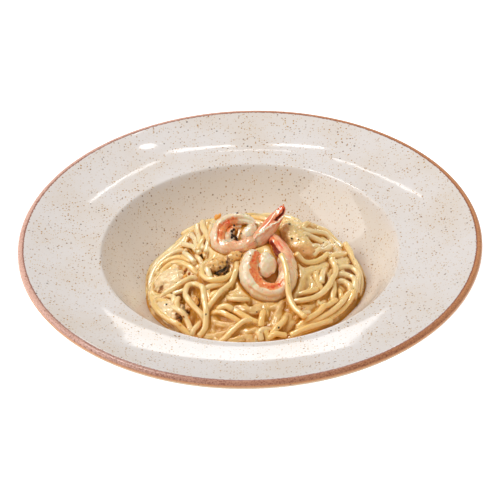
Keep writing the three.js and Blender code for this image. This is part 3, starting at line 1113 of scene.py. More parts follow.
# Strands laid in sight on the heap, the lowest first in each part.
LAID_STRANDS: dict[str, tuple[Lay, ...]] = {
    "back_right": (
        ((10, 43), (17, 43), (24, 40), (30, 34)),
        ((31, 28), (34, 33), (39, 38), (43, 38), (45, 34), (42, 29)),
        ((30, 28), (36, 27), (42, 30), (47, 31), (51, 27), (54, 18)),
        ((41, 38), (46, 37), (51, 33), (55, 28), (57, 23)),
        ((29, 19), (34, 22), (40, 22), (46, 19), (51, 13)), ((32, 10), (37, 8), (42, 12), (47, 20)),
        ((37, 2), (41, 6), (46, 12), (49, 18)),
    ),
    "right": (
        ((59, 19), (57, 13), (53, 7), (48, 3), (44, 1)),
        (
            (58, 23, 5.0), (59.5, 18, 3.0), (61, 10, 1.6), (63, 3, 0.8), (64.5, -4, 0.3),
            (65, -13, 0.0), (64, -21),
        ),
        ((51, -5), (56, -3), (60, -3), (63, -8), (63, -14), (62, -21)),
        ((50, -10), (55, -10), (60, -13), (61, -19), (60, -25)),
        ((49, -16), (54, -16), (57, -19), (59, -25)), ((48, -18), (48, -24), (47, -30), (48, -35)),
        ((51, -21), (52, -26), (51, -32)), ((39, -9), (38, -16), (41, -25)),
        ((44, -6), (42, -13), (41, -21)), ((27, -31), (33, -30), (38, -25)),
        ((38, -33), (39, -38), (42, -32)),
        ((58, -18), (60, -25), (55, -33), (47, -42), (38, -51), (28, -57), (19, -61)),
        ((57, -24), (52, -33), (44, -42), (35, -50), (26, -56)),
        ((49, -31), (42, -39), (34, -48), (26, -55)), ((46, -46), (38, -53), (30, -57), (22, -60)),
    ),
    "front": (
        ((-25, -42), (-19, -43), (-12, -48), (-3, -53)), ((-14, -32), (-11, -36), (-6, -37), (-2, -35)),
        ((-15, -41), (-10, -44), (-5, -48), (2, -52), (8, -52)), ((-19, -42), (-15, -42), (-11, -44)),
        ((-21, -62), (-15, -60), (-10, -56), (-5, -53), (-1, -52)), ((-3, -57), (2, -57), (7, -56)),
        ((2, -62), (5, -59), (9, -57), (14, -56)), ((5, -63), (4, -61), (3, -59)),
        ((6, -58), (8, -60), (9, -63)), ((7, -44), (6, -48), (5, -55)),
        ((20, -47), (18, -52), (14, -57), (10, -62)), ((9, -62), (14, -61), (19, -60)),
        ((24, -50), (28, -47), (33, -45)),
    ),
    "left": (
        ((-61, 6), (-56, 16), (-50, 23), (-43, 29), (-36, 34)),
        ((-55, 12), (-49, 20), (-42, 26), (-38, 31)), ((-49, 13), (-45, 19), (-40, 23), (-37, 29)),
        ((-35, 18), (-41, 18), (-48, 15), (-54, 11), (-59, 4), (-61, -6)),
        ((-30, 2), (-35, 1), (-40, 7), (-46, 11), (-52, 9), (-56, 4)),
        ((-28, -2), (-31, 4), (-32, 11), (-36, 17), (-39, 13), (-37, 5), (-33, -1)),
        ((-55, -5), (-51, 2), (-45, 4), (-39, -1), (-34, -7), (-30, -11)),
        ((-37, 27), (-34, 20), (-30, 11), (-27, 3)), ((-35, 32), (-32, 23), (-29, 13), (-26, 3)),
        ((-24, -3), (-26, -10), (-25, -20)),
        ((-62, -17), (-60, -27), (-56, -36), (-49, -44), (-40, -50), (-31, -54)),
        ((-61, -10), (-60, -20), (-56, -30), (-50, -38), (-45, -43)),
        ((-58, -19), (-53, -22), (-48, -23), (-45, -27), (-45, -35)),
        ((-58, -21), (-52, -27), (-44, -36)), ((-50, -30), (-44, -37), (-38, -43), (-35, -51)),
        ((-42, -29), (-43, -33), (-42, -38)), ((-35, -54), (-32, -50), (-28, -44)),
        ((-45, -24), (-40, -23), (-35, -21)),
        ((-53, -22), (-47, -21), (-40, -17), (-34, -14), (-30, -15)),
        ((-28, -22), (-25, -29), (-24, -36), (-27, -42)), ((-23, -34), (-20, -30), (-16, -28)),
        ((-26, -27), (-20, -24), (-12, -22)), ((-23, -4), (-25, -12), (-23, -20)),
        ((-25, -3), (-28, -9), (-28, -17), (-23, -22), (-17, -22), (-11, -17)),
        (
            (-31, -56), (-27, -52), (-26, -44), (-27, -36), (-28, -28), (-32, -21), (-36, -21),
            (-38, -27), (-36, -35), (-31, -41), (-26, -47),
        ),
        ((-26, -41), (-21, -36), (-16, -29), (-11, -23), (-8, -16), (-8, -9)),
    ),
    "back_left": (
        ((-40, 22, 0.0), (-37, 17, 1.6), (-34.5, 14, 1.6), (-31, 8, 0.0)),
        ((-35, 27, 2.0), (-33, 20, 3.0), (-31.6, 13, 2.2), (-30, 5, 0.2)),
        ((-31.4, 29, 5.0), (-30.6, 22, 4.6), (-29.6, 15, 3.6), (-27.6, 7, 1.0)),
        ((-24.7, 29, 5.4), (-25.6, 23, 5.4), (-27.2, 16, 4.4), (-31, 7, 1.4)),
        ((-28, 31, 4.0), (-27.6, 24, 5.0), (-25.4, 17, 4.6), (-23.6, 10, 2.2)),
        ((-22.6, 25, 4.0), (-23.0, 18, 4.2), (-24.4, 11, 2.6), (-26, 4, 0.2)),
    ),
    "over": (
        ((48, 0), (50, -6), (49, -14), (45, -23), (38, -32), (30, -38), (23, -38)),
        ((27, -6), (33, -6), (39, -3), (44, 2), (48, 8)),
        ((18, -11), (20, -18), (21, -27), (22, -38), (25, -46), (30, -52)),
    ),
}

# Strands that lie on the slope behind the shrimps, the lowest first.
BEHIND_STRANDS: tuple[Lay, ...] = (
    ((-27, 38), (-18, 43, 0.8), (-8, 46, 0.8), (3, 46, 0.8), (13, 43)),
    ((-24, 31), (-16, 36, 1.4), (-6, 39, 1.6), (5, 38, 1.6), (14, 35, 1.2), (20, 33)),
    ((-19, 29, 1.0), (-12, 32.5, 3.0), (-3, 33.5, 3.4), (6, 31.5, 3.4), (13, 27.5, 2.0), (17, 23)),
    ((-14, 29, 2.4), (-6, 29.6, 4.2), (2, 29, 4.4), (8, 25.5, 3.8), (12, 21, 1.0)),
    ((15, 27, 2.6), (8, 33, 3.2), (2, 39, 2.4), (-7, 44, 1.6), (-18, 45)),
    ((-20, 27, 1.6), (-15, 33, 3.0), (-5, 36.5, 3.6), (4, 42, 2.4), (15, 45)),
)


@dataclass
class Spaghetti:
    """The strands of the heap: some wander below, the ones in sight are laid on them."""

    form: HeapForm
    radius: float = 1.82
    spread: float = 0.05  # share by which the radius varies
    step: float = 0.5  # along a strand's line
    ring_step: float = 1.15  # along its mesh
    sides: int = 10
    squash: float = 0.97
    end_steps: tuple[float, ...] = (-0.34, -0.27, -0.1)  # rounding of a cut end, in radii
    end_shares: tuple[float, ...] = (0.0, 0.55, 0.86, 1.0)
    core_depth: float = 7.0
    dive: float = 2.4  # how far a laid strand's end dives
    inside: float = 0.965  # share of the outline that wandering strands keep to
    laid_inside: float = 0.985
    stray: float = 0.28  # spread of a strand's heading off the flow, in radians
    bend: float = 0.11  # most that it turns in one step
    room: float = 2.2  # kept free round the undersides of the toppings
    skin: float = 0.8  # how deep strands may press into a topping
    crowd_sink: float = 1.1  # how far the base sinks for each laid strand that crosses a place
    laid_room: float = 1.9  # how far below the heap's height it stops where strands are laid over it
    climb: float = 3.0  # how far a laid strand may rise over what lies there
    over_climb: float = 20.0
    bottom: Fill = Fill(260, (40.0, 100.0), 10, 0.3)
    back: Fill = Fill(90, (30.0, 80.0), 14, 0.4)
    half: Fill = Fill(130, (14.0, 46.0), 14, 0.3)
    half_level: float = 0.25
    half_rise: tuple[float, float] = (1.2, 0.6)  # how far these stand out, and by how much it varies
    half_dip: float = 2.4  # how far their ends sink
    half_gap: float = 3.0
    seen_depth: float = 0.7  # a strand this far under the others is still seen
    seen_share: float = 0.05
    seed: int = 41
    toppings: tuple[Topping, ...] = ()
    finish: PastaFinish = field(default_factory=PastaFinish)
    strands: list[Strand] = field(default_factory=list)

    def survey(self) -> Array:
        """Work out the grids that the strands are laid by.

        They are the heap's mean height, how crowded with laid strands each place is, the direction
        of the strands, the underside of the toppings with the places that they cover, the height
        that laid strands keep, and the height to which those underneath are filled.

        Returns:
            The toppings' vertices.
        """
        self.map = HeightMap(self._core)
        self.thin = self.map.height.copy()
        self.mean = self.form.top(self.map.x, self.map.y)
        self.routes = [self._route(lay) for lays in LAID_STRANDS.values() for lay in lays]
        self.crowd = self.crowding()
        self.field = self.flow()
        points = np.concatenate([np.concatenate(topping.shape().points) for topping in self.toppings])
        turned_over = points * [1, 1, -1]
        self.under = -self.map.stamped(turned_over, self.room, np.full_like(self.mean, -AWAY)) + 1.0
        self.covered = (self.under < AWAY - 9.0).astype(float)
        sunk = self.crowd_sink * np.clip(self.crowd - 0.6, 0.0, 3.0)
        self.level = self.form.top(self.map.x, self.map.y, dips=False) - sunk
        share, _ = self.form.polar(self.map.x, self.map.y)
        bed = self.form.bed(self.map.x, self.map.y) + 1.7 * self.radius
        wanted = self.mean - 0.5 - self.laid_room * np.clip(self.crowd, 0.0, 1.0) - sunk
        self.wanted = np.maximum(wanted, np.where(share < 0.98, bed, 0.0))
        return points

    def arrange(self) -> None:
        """Lay the strands: first those underneath, then the ones in sight at the heap's height."""
        self.rng = np.random.default_rng(self.seed)
        points = self.survey()
        self.fill_to(np.minimum(self.wanted, self.under), self.bottom)
        self.below = self.map.height.copy()
        self.lay_half()
        self.seen = HeightMap(lambda x, y: np.full_like(x, -AWAY))
        for grid in (self.seen, self.map):
            grid.stamp(points - np.array([0.0, 0.0, self.skin]), self.skin)
        for name in ("back_right", "right", "front", "left", "back_left"):
            self.lay_over(LAID_STRANDS[name], self.climb)
        self.lay_over(LAID_STRANDS["over"], self.over_climb)
        self.lay_back()
        self.lay_over(BEHIND_STRANDS, self.climb)
        self.keep_seen()

    def _route(self, lay: Lay) -> Array:
        """A laid strand's line from above."""
        return through(np.array([knot[:2] for knot in lay], float), self.step)

    def _core(self, x: Array, y: Array) -> Array:
        """Bed of the heap, raised to a core some way below its mean height."""
        share, _ = self.form.polar(x, y)
        bed = self.form.bed(x, y) - 0.4
        return np.where(share < 0.9, np.maximum(bed, self.form.top(x, y) - self.core_depth), bed)

    def lay(self, line: Array, z: Array, radius: float) -> Strand:
        """Keep a strand and raise the maps under it.

        Args:
            line: the strand from above.
            z: its heights.
            radius: its radius.

        Returns:
            The strand.
        """
        strand = Strand(np.column_stack([line[:, :2], z]), radius, float(self.rng.uniform(0.0, 1.0)))
        self.map.stamp(strand.path, radius)
        self.map.stamped(strand.path, radius * 0.93, self.thin)
        self.strands.append(strand)
        return strand

    def drawn_radius(self) -> float:
        """A radius drawn around the usual one."""
        return self.radius * (1.0 + self.spread * float(self.rng.standard_normal()))

    def flow(self) -> Array:
        """Direction in which the laid strands run, as the cosine and sine of twice its angle.

        Each strand adds its direction to the places within a few millimetres; where none is near
        the direction is round the heap.

        Returns:
            Grids of the two parts, of length one.
        """
        round_heap = np.arctan2(self.map.y - self.form.centre[1], self.map.x - self.form.centre[0])
        angle = 2.0 * (round_heap + TURN / 4)
        parts = [np.zeros_like(self.mean), np.zeros_like(self.mean)]
        for line in self.routes:
            i, j = self.map.cells(line).T
            way = tangents(line)
            twice = 2.0 * np.arctan2(way[:, 1], way[:, 0])
            for part, turned in zip(parts, (np.cos(twice), np.sin(twice))):
                np.add.at(part, (i, j), turned)
        parts = [self.map.blurred(part, 4.5) for part in parts]
        near = np.sqrt(np.maximum(self.map.blurred(parts[0] ** 2 + parts[1] ** 2, 2.0), 0.0))
        rest = 0.012 * bell(near, 0.02) + 0.002
        total = np.stack([parts[0] + rest * np.cos(angle), parts[1] + rest * np.sin(angle)])
        return total / np.maximum(np.hypot(total[0], total[1]), 1e-9)

    def field_angle(self, place: Array) -> Array:
        """Direction of the flow at places."""
        cosine, sine = (self.map.sample(*place, part) for part in self.field)
        return np.arctan2(sine, cosine) / 2.0

    def wander(self, tries: int, length: float) -> list[Array]:
        """Random lines that run with the flow: each heads towards it, off by slow waves.

        Args:
            tries: number of lines.
            length: their length.

        Returns:
            The lines, kept inside the heap.
        """
        rng = self.rng
        turn = rng.uniform(0.0, TURN, tries)
        reach = np.sqrt(rng.uniform(0.0, 0.95, tries)) * self.form.outline(turn)
        place = np.stack([reach * np.cos(turn), reach * np.sin(turn)])
        wave = rng.uniform(18.0, 40.0, tries)
        phase = rng.uniform(0.0, TURN, tries)
        off = rng.normal(0.0, self.stray, tries)
        swing = rng.uniform(0.1, 0.5, tries)
        heading = self.field_angle(place) + rng.integers(0, 2, tries) * math.pi
        made = [place]
        for k in range(int(length / self.step)):
            wanted = self.field_angle(place) + off + swing * np.sin(TURN * k * self.step / wave + phase)
            turned = (wanted - heading + math.pi / 2) % math.pi - math.pi / 2
            heading = heading + np.clip(0.3 * turned, -self.bend, self.bend)
            place = place + np.stack([np.cos(heading), np.sin(heading)]) * self.step
            place = np.stack(self.form.kept_inside(*place, self.inside))
            made.append(place)
        lines = np.array(made).transpose(2, 0, 1)
        return [even_steps(smoothed_line(line, 3.0), self.step) for line in lines]

    def fill_to(self, target: Array, fill: Fill) -> None:
        """Lay wandering strands where the map is furthest below a target.

        Args:
            target: grid of wanted heights.
            fill: how many strands, and which.
        """
        for _ in range(fill.most):
            best, most = None, fill.need
            for line in self.wander(fill.tries, self.rng.uniform(*fill.lengths)):
                short = self.map.along(line, target) - self.map.along(line)
                score = float(np.clip(short, -3.0, 3.0).mean())
                if score > most:
                    best, most = line, score
            if best is None:
                return
            radius = self.drawn_radius()
            low = self.map.rest(best, radius) - 0.3 * radius
            low = np.minimum(low, self.map.along(best, target) - radius + 0.7)
            self.lay(best, smoothed(self.draped(low, 5.0), 2.5), radius)

    @staticmethod
    def draped(low: Array, width: float) -> Array:
        """Heights over a support: pulled straight and lifted back onto it four times.

        Args:
            low: the support.
            width: width of the smoothing.

        Returns:
            Heights.
        """
        z = low
        for _ in range(4):
            z = np.maximum(low, smoothed(z, width))
        return z

    def lay_half(self) -> None:
        """Lay strands half under the cream, clear of one another, each rising and sinking slowly."""
        level = self.map.blurred(self.below, 2.4) + self.half_level
        taken = self.covered
        for _ in range(self.half.most):
            lines = self.wander(self.half.tries, self.rng.uniform(*self.half.lengths))
            shares = [float(self.map.along(line, taken).mean()) for line in lines]
            line = lines[int(np.argmin(shares))]
            drawn = self.rng.uniform([12.0, 0.0, 0.0, 0.0], [30.0, TURN, 1.0, 1.0])
            if min(shares) > self.half.need:
                continue
            radius = self.drawn_radius()
            wave, phase, sunk_start, sunk_stop = drawn
            gone = np.arange(len(line)) * self.step
            start = 1.0 - smooth_step(gone, 0.0, 5.0)
            stop = 1.0 - smooth_step(gone[-1] - gone, 0.0, 5.0)
            lift = self.half_rise[0] + self.half_rise[1] * np.sin(TURN * gone / wave + phase)
            lift = lift - self.half_dip * (start * (sunk_start > 0.3) + stop * (sunk_stop > 0.3))
            z = self.map.along(line, level) - radius + lift
            z = np.minimum(z, self.map.along(line, self.under) - radius)
            self.lay(line, smoothed(z, 2.0), radius)
            taken = np.maximum(taken, self.footprint(line, self.half_gap))

    def footprint(self, line: Array, width: float) -> Array:
        """1 within a width of a line on the grid, and 0 beyond it."""
        flat = np.column_stack([line[:, :2], np.zeros(len(line))])
        return self.map.stamped(flat, width, np.full_like(self.mean, -1.0)) > -0.5

    def crowding(self) -> Array:
        """How many laid strands cross each place, spread over a few millimetres.

        Returns:
            A grid of counts.
        """
        crossings = np.zeros_like(self.mean)
        for line in self.routes:
            crossings += self.footprint(line, self.radius)
        return self.map.blurred(crossings, 4.0)

    def lay_over(self, lays: Sequence[Lay], climb: float) -> None:
        """Lay the strands of one part, the lowest first.

        Each keeps the heap's height plus its own lift, and rises over the ones before it.

        Args:
            lays: the part's strands.
            climb: how far a strand may rise over what lies there.
        """
        for lay in lays:
            knots = np.array([(*knot, 0.0)[:3] for knot in lay], float)
            for end in (0, -1):
                if len(lay[end]) == 2:
                    knots[end, 2] = -self.dive
            line = through(knots, self.step)
            x, y = self.form.kept_inside(line[:, 0], line[:, 1], self.laid_inside)
            line = even_steps(np.column_stack([x, y, line[:, 2]]), self.step)
            radius = self.drawn_radius()
            base = self.map.along(line, self.level) + line[:, 2]
            low = self.seen.rest(line, radius) - 0.35 * radius
            low = np.maximum(base, np.minimum(low, base + climb))
            strand = self.lay(line, smoothed(self.draped(low, 4.0), 2.2), radius)
            self.seen.stamp(strand.path, radius)

    def lay_back(self) -> None:
        """Bring the side that faces away up to the same height."""
        crowded = self.map.blurred((self.crowd > 0.25).astype(float), 5.0)
        near = self.map.blurred(self.covered, 3.0)
        raised = self.mean + 2.0 + 2.5 * smooth_step(near, 0.03, 0.4)
        target = np.where(crowded < 0.25, raised, self.mean - 6.0)
        self.fill_to(np.minimum(target, self.under), self.back)

    def keep_seen(self) -> None:
        """Drop every strand that lies wholly under others."""
        seen = []
        for strand in self.strands:
            cover = self.map.along(strand.path)
            open_places = strand.path[:, 2] + strand.radius > cover - self.seen_depth
            if np.mean(open_places) > self.seen_share:
                seen.append(strand)
        LOG.info("strands: %d laid, %d seen", len(self.strands), len(seen))
        self.strands = seen

    def tube(self, strand: Strand) -> Part:
        """The round body of one strand, a little uneven, with softly rounded cut ends.

        Args:
            strand: the strand.

        Returns:
            Vertices, faces and vertex values.
        """
        line = even_steps(strand.path, self.ring_step)
        way = tangents(line)
        ends = np.array(self.end_steps)[:, None] * strand.radius
        line = np.concatenate([line[0] + way[0] * ends, line, line[-1] - way[-1] * ends[::-1]])
        share = np.ones(len(line))
        share[:4], share[-4:] = self.end_shares, self.end_shares[::-1]
        _, across, up = frames(line, np.array([0.0, 0.0, 1.0]))
        across[:3], across[-3:] = across[3], across[-4]
        up[:3], up[-3:] = up[3], up[-4]
        angle = np.arange(self.sides) * TURN / self.sides
        swell = 1.0 + 0.05 * lattice_noise(line + 40.0 * strand.tone, 4.5, 3)
        reach = strand.radius * (share * swell)[:, None]
        points, faces = closed_sweep(line, across, up, reach, angle, self.squash)
        lump = lattice_noise(points, 2.1, 9) * 0.14 + lattice_noise(points, 4.7, 12) * 0.16
        points = points + unit(points - line[stations(len(line), self.sides)]) * lump[:, None]
        # Painted shade: depth grows under the strands above and below the heap round the strand.
        cover, around = self.map.along(points), self.map.along(points, self.around)
        depth = np.clip((cover - points[:, 2] - 0.8) / 6.0, 0.0, 1.0)
        depth = np.maximum(depth, np.clip((around - points[:, 2]) / 3.0, 0.0, 0.85))
        # Painted shade on each strand's sides and underside, and more towards the front of the heap.
        flank = (1.0 - self.squash * np.sin(angle)) / 2.0
        flank = np.concatenate([np.tile(flank, len(line) - 2), [0.5, 0.5]])
        front = smooth_step(-points[:, 1], 22.0, 46.0)
        depth = np.maximum(depth, (0.5 + 0.1 * front) * smooth_step(flank, 0.15, 0.8)) + 0.24 * front
        return points, faces, {"tone": np.full(len(points), strand.tone), "depth": depth}

    def build(self, pieces: int) -> list[Piece]:
        """Make the strands' meshes.

        Args:
            pieces: number of pieces they are shared between.

        Returns:
            The pieces.
        """
        material = self.finish.material()
        self.around = self.map.blurred(self.map.height, 2.2)
        made = []
        for part in range(pieces):
            shape = Shape()
            for strand in self.strands[part::pieces]:
                shape.add(*self.tube(strand))
            name, stands_for = f"spaghetti_strands_{part + 1}", [] if part else ["spaghetti_heap"]
            made.append(shape.fill(name, Slot.SPAGHETTI, material, stands_for))
        return made


# ---------------------------------------------------------------- cream


@dataclass(frozen=True)
class CreamFinish(WetFood):
    """Thick cheese cream: tan, grainy, glossy, with paler curds, and brown painted shade in its hollows
    and at the front.
    """

    label: str = "cheese_cream"
    roughness: float = 0.13
    sunk: float = 0.25
    pale: Colour = colour(255, 224, 164)
    tan: Colour = colour(250, 206, 126)
    brown: Colour = colour(202, 136, 40)
    grain: Colour = colour(120, 66, 26)

    def paint(self, g: Graph, place: Value) -> dict[str, Value]:
        """Work out what varies over the surface.

        Args:
            g: the graph.
            place: position in millimetres.

        Returns:
            The signals by socket.
        """
        curd = g.noise(place, 2.6, 4.0, 0.65)
        patch = g.noise(place, 8.0, 2.0, 0.5)
        hollow = g.attribute("hollow")
        base = g.mix((curd * 0.8 + patch * 0.5 - 0.15).step(0.25, 0.75), self.tan, self.pale)
        # Painted shade: brown where the cream lies low, in creases beside strands and towards the front.
        base = g.mix((hollow + (curd - 0.5) * 0.5).step(0.1, 1.0), base, self.brown)
        base = g.mix(g.grains(place, 3.1, 0.16, 0.15) * 0.7, base, self.grain)
        normal = g.bump(curd, 0.8, 0.8)
        normal = g.bump(g.noise(place, 0.9, 3.0, 0.6), 0.3, 0.8, normal)
        return {
            "Base Color": base,
            "Roughness": self.roughness + 0.35 * (patch - 0.4).most(0.0),
            "Coat Weight": 1.0 - 0.7 * hollow.least(1.0),
            "Normal": normal,
        }


@dataclass
class CreamCoat:
    """The cream: a pool in the well that climbs between the strands and clings to their sides."""

    spaghetti: Spaghetti
    cells: int = 296  # grid points along a side
    spread: float = 2.4  # how widely the strands underneath are evened out for the pool
    depth: float = 0.2  # of the pool over that
    film: float = -0.15  # height over the strands underneath
    skirt: float = 2.2  # depth of the closed underside
    climb: float = 2.1  # how far it climbs the strands that stand out of it
    fillet: float = 0.75  # rounding where it meets them
    nest_blur: float = 2.6  # the nest under the toppings: softness, lift and greatest rise
    nest_lift: float = 3.0
    nest_rise: float = 6.0
    wall_film: tuple[float, float] = (1.5, 1.1)  # thickness of its edge on the glaze, and its run
    overlap: float = 0.3  # how far the cream reaches past the heap's outline
    bulge: Triple = (3.25, 0.55, 1.6)  # direction, width and reach of its spill on the left
    # Places where the cream stands higher (or lower, if negative): x, y, radius, height.
    mounds: tuple[tuple[float, float, float, float], ...] = (
        (-12, -50, 16, 0.4), (12, -48, 18, 0.3), (-50, -12, 14, 0.5), (-38, 10, 14, 0.5),
        (25, -14, 12, 1.3), (36, 12, 10, 0.5), (40, -40, 7, -1.4), (-33, -28, 5, -1.2),
        (48, -14, 7, -0.8), (2, -5, 20, 0.8),
    )
    finish: CreamFinish = field(default_factory=CreamFinish)

    def surface(self) -> tuple[Array, Array]:
        """Height of the cream on the grid, and the painted shade at each place.

        It follows the strands underneath as a film and fills the hollows between them, more at the
        mounds. It rises to a smooth nest under the toppings, and then climbs the sides of every
        strand that stands out of it.

        Returns:
            Heights, and the painted shade.
        """
        heap = self.spaghetti
        grid = heap.map
        flat = np.stack([grid.x, grid.y, np.zeros_like(grid.x)], -1)
        cover = self.film + 0.5 * lattice_noise(flat, 7.0, 21)
        for at_x, at_y, radius, height in self.mounds:
            cover = cover + height * hill(grid.x, grid.y, at_x, at_y, radius)
        ridges = grid.blurred(heap.below, 0.7) + cover
        pool = grid.blurred(heap.below, self.spread) + cover * 0.5 + self.depth
        level = soft_max(ridges, pool, 0.5)
        level = level + 0.32 * lattice_noise(flat, 2.6, 22) + 0.28 * lattice_noise(flat, 1.3, 23)
        level = soft_max(level, np.full_like(level, heap.form.pool), 0.4)
        near = grid.blurred(heap.covered, self.nest_blur)
        below = grid.blurred(np.where(heap.covered > 0.0, heap.under, 0.0), self.nest_blur)
        rise = np.clip(below / np.maximum(near, 1e-3) + self.nest_lift - level, 0.0, self.nest_rise)
        level = level + rise * smooth_step(near, 0.06, 0.6)
        climb = self.climb + 1.7 * lattice_noise(flat, 8.0, 24)
        standing = np.minimum(heap.thin + 0.3 * lattice_noise(flat, 2.2, 25), level + climb)
        top = soft_max(level, standing, self.fillet)
        # Painted shade: where the cream lies below the strands round it, in creases beside them, and
        # towards the front.
        wide = np.clip((grid.blurred(grid.height, 2.4) - top - 0.4) / 3.2, 0.0, 1.0)
        crease = np.clip((grid.blurred(np.maximum(grid.height, top), 0.9) - top) / 1.1, 0.0, 1.0)
        return top, np.clip(wide + 0.95 * crease + 0.5 * smooth_step(-grid.y, 14.0, 40.0), 0.0, 1.0)

    def build(self) -> Piece:
        """Make the coat: a square grid drawn onto the heap's outline, closed by a cone underneath.

        Returns:
            The cream.
        """
        grid = self.spaghetti.map
        form = self.spaghetti.form
        top, hollow = self.surface()
        n = self.cells
        u, v = np.meshgrid(np.linspace(-1, 1, n), np.linspace(-1, 1, n), indexing="ij")
        share = np.maximum(np.abs(u), np.abs(v))
        length = np.maximum(np.hypot(u, v), 1e-9)
        disc_x, disc_y = u / length * share, v / length * share
        angle = np.arctan2(disc_y, disc_x)
        at, width, reach = self.bulge
        wave = np.stack([3.0 * np.cos(angle), 3.0 * np.sin(angle), np.zeros_like(angle)], -1)
        edge = form.outline(angle) + self.overlap + reach * bell(np.mod(angle, TURN) - at, width)
        edge = edge + 0.9 * lattice_noise(wave, 1.4, 31) + 0.35 * lattice_noise(wave, 0.5, 32)
        x = form.centre[0] + edge * disc_x
        y = form.centre[1] + edge * disc_y
        z = grid.sample(x, y, top)
        glaze = form.plate.top(np.hypot(x, y))
        from_edge = (1.0 - share) * edge
        film = self.wall_film[0] * (1.0 - np.exp(-from_edge / self.wall_film[1]))
        free = smooth_step(from_edge, 1.5, 5.0)
        z = np.where(free < 1.0, np.minimum(z, glaze + film + free * 40.0), z)
        z = np.maximum(z, glaze + 0.02 + 0.25 * np.clip(from_edge, 0.0, 1.0))
        points = np.stack([x, y, z], -1).reshape(-1, 3)
        side = np.arange(n - 1)
        cell = side[:, None] * n + side
        quads = np.stack([cell, cell + n, cell + n + 1, cell + 1], -1).reshape(-1, 4)
        back = n - 1 - side
        loop = np.concatenate([side * n, (n - 1) * n + side, back * n + n - 1, back])
        skirt = points[loop] - np.array([0.0, 0.0, self.skirt])
        centre = np.array([[form.centre[0], form.centre[1], form.plate.floor - self.skirt]])
        first = len(points)
        ring = first + np.arange(len(loop))
        wall = np.stack([loop, ring, np.roll(ring, -1), np.roll(loop, -1)], -1)[:, ::-1]
        fan = np.stack([np.full(len(loop), first + len(loop)), np.roll(ring, -1), ring], -1)
        # The painted shade on each vertex, and none on the skirt.
        depth = np.concatenate([grid.sample(x, y, hollow).ravel(), np.zeros(len(loop) + 1)])
        return fill_mesh(
            "cream_coat",
            np.concatenate([points, skirt, centre]),
            [np.concatenate([quads, wall]), fan],
            self.finish.material(),
            {"hollow": depth},
            ["cream_sauce"],
        )


# ---------------------------------------------------------------- shrimps


@dataclass(frozen=True)
class ShrimpFinish(WetFood):
    """Cooked shrimp: white and blush flesh, an orange-red band, a red and pink tail."""

    label: str = "cooked_shrimp"
    roughness: float = 0.17
    ior: float = 1.4
    sunk: float = 0.7
    spread: Triple = (1.0, 0.55, 0.35)
    reach: float = 0.0025
    white: Colour = colour(255, 236, 206)
    blush: Colour = colour(255, 216, 174)
    orange: Colour = colour(255, 148, 62)
    red: Colour = colour(240, 84, 10)
    deep: Colour = colour(128, 26, 4)
    sauce: Colour = colour(246, 206, 150)
    pink: Colour = colour(255, 172, 116)

    def paint(self, g: Graph, place: Value) -> dict[str, Value]:
        """Work out what varies over the surface.

        Args:
            g: the graph.
            place: position in millimetres.

        Returns:
            The signals by socket.
        """
        belly, tail, hollow = g.attribute("belly"), g.attribute("tail"), g.attribute("hollow")
        cream, ridge = g.attribute("cream"), g.attribute("ridge")
        streak = g.vector(g.attribute("along") * 0.12, g.attribute("streak") * 3.0, 0.0)
        cloud = g.noise(place, 4.6, 3.0, 0.6)
        fine = g.noise(place, 1.3, 3.0, 0.65)
        base = g.mix((cloud * 1.1 + fine * 0.8 - 0.4).step(0.2, 0.9), self.white, self.blush)
        pinker = (tail + (cloud - 0.5) * 1.1 + (fine - 0.5) * 0.5).step(0.1, 0.9)
        base = g.mix(pinker * 0.8, base, self.pink)
        warm = (belly + (cloud - 0.5) * 0.8 + (fine - 0.5) * 0.7).step(0.15, 0.8)
        base = g.mix(warm * 0.9, base, self.orange)
        base = g.mix((belly + (fine - 0.5) * 1.4 + (cloud - 0.5) * 1.0).step(0.8, 1.35), base, self.red)
        lines = g.noise(streak, 1.0, 3.0, 0.7)
        base = g.mix((lines + tail * 0.25 - 0.4).step(0.2, 0.55) * tail.step(0.3, 0.8), base, self.red)
        base = g.mix(g.grains(place, 1.6, 0.35, 0.26) * (0.6 * pinker), base, self.red)
        # Painted shade: deep red on the limb's inner strip and in the tail's pit, with dark stripes at
        # its tip.
        base = g.mix(hollow.step(0.2, 0.9), base, self.deep)
        base = g.mix((cream + (cloud - 0.5) * 0.7).step(0.25, 0.8) * 0.85, base, self.sauce)
        # Painted highlight: white along the raised edge where the tail shell splits.
        base = g.mix(ridge.step(0.25, 0.7), base, self.white)
        normal = g.bump(fine, 0.35, 0.6)
        normal = g.bump(lines, 0.25, 0.5, normal)
        return {
            "Base Color": base,
            "Roughness": self.roughness + 0.25 * (cloud - 0.4).most(0.0),
            "Coat Weight": 1.0 - 0.8 * hollow.step(0.2, 0.9),
            "Normal": normal,
        }


# Values of each vertex that ShrimpFinish reads.
FLESH_VALUES = ("belly", "tail", "along", "streak", "hollow", "cream", "ridge")


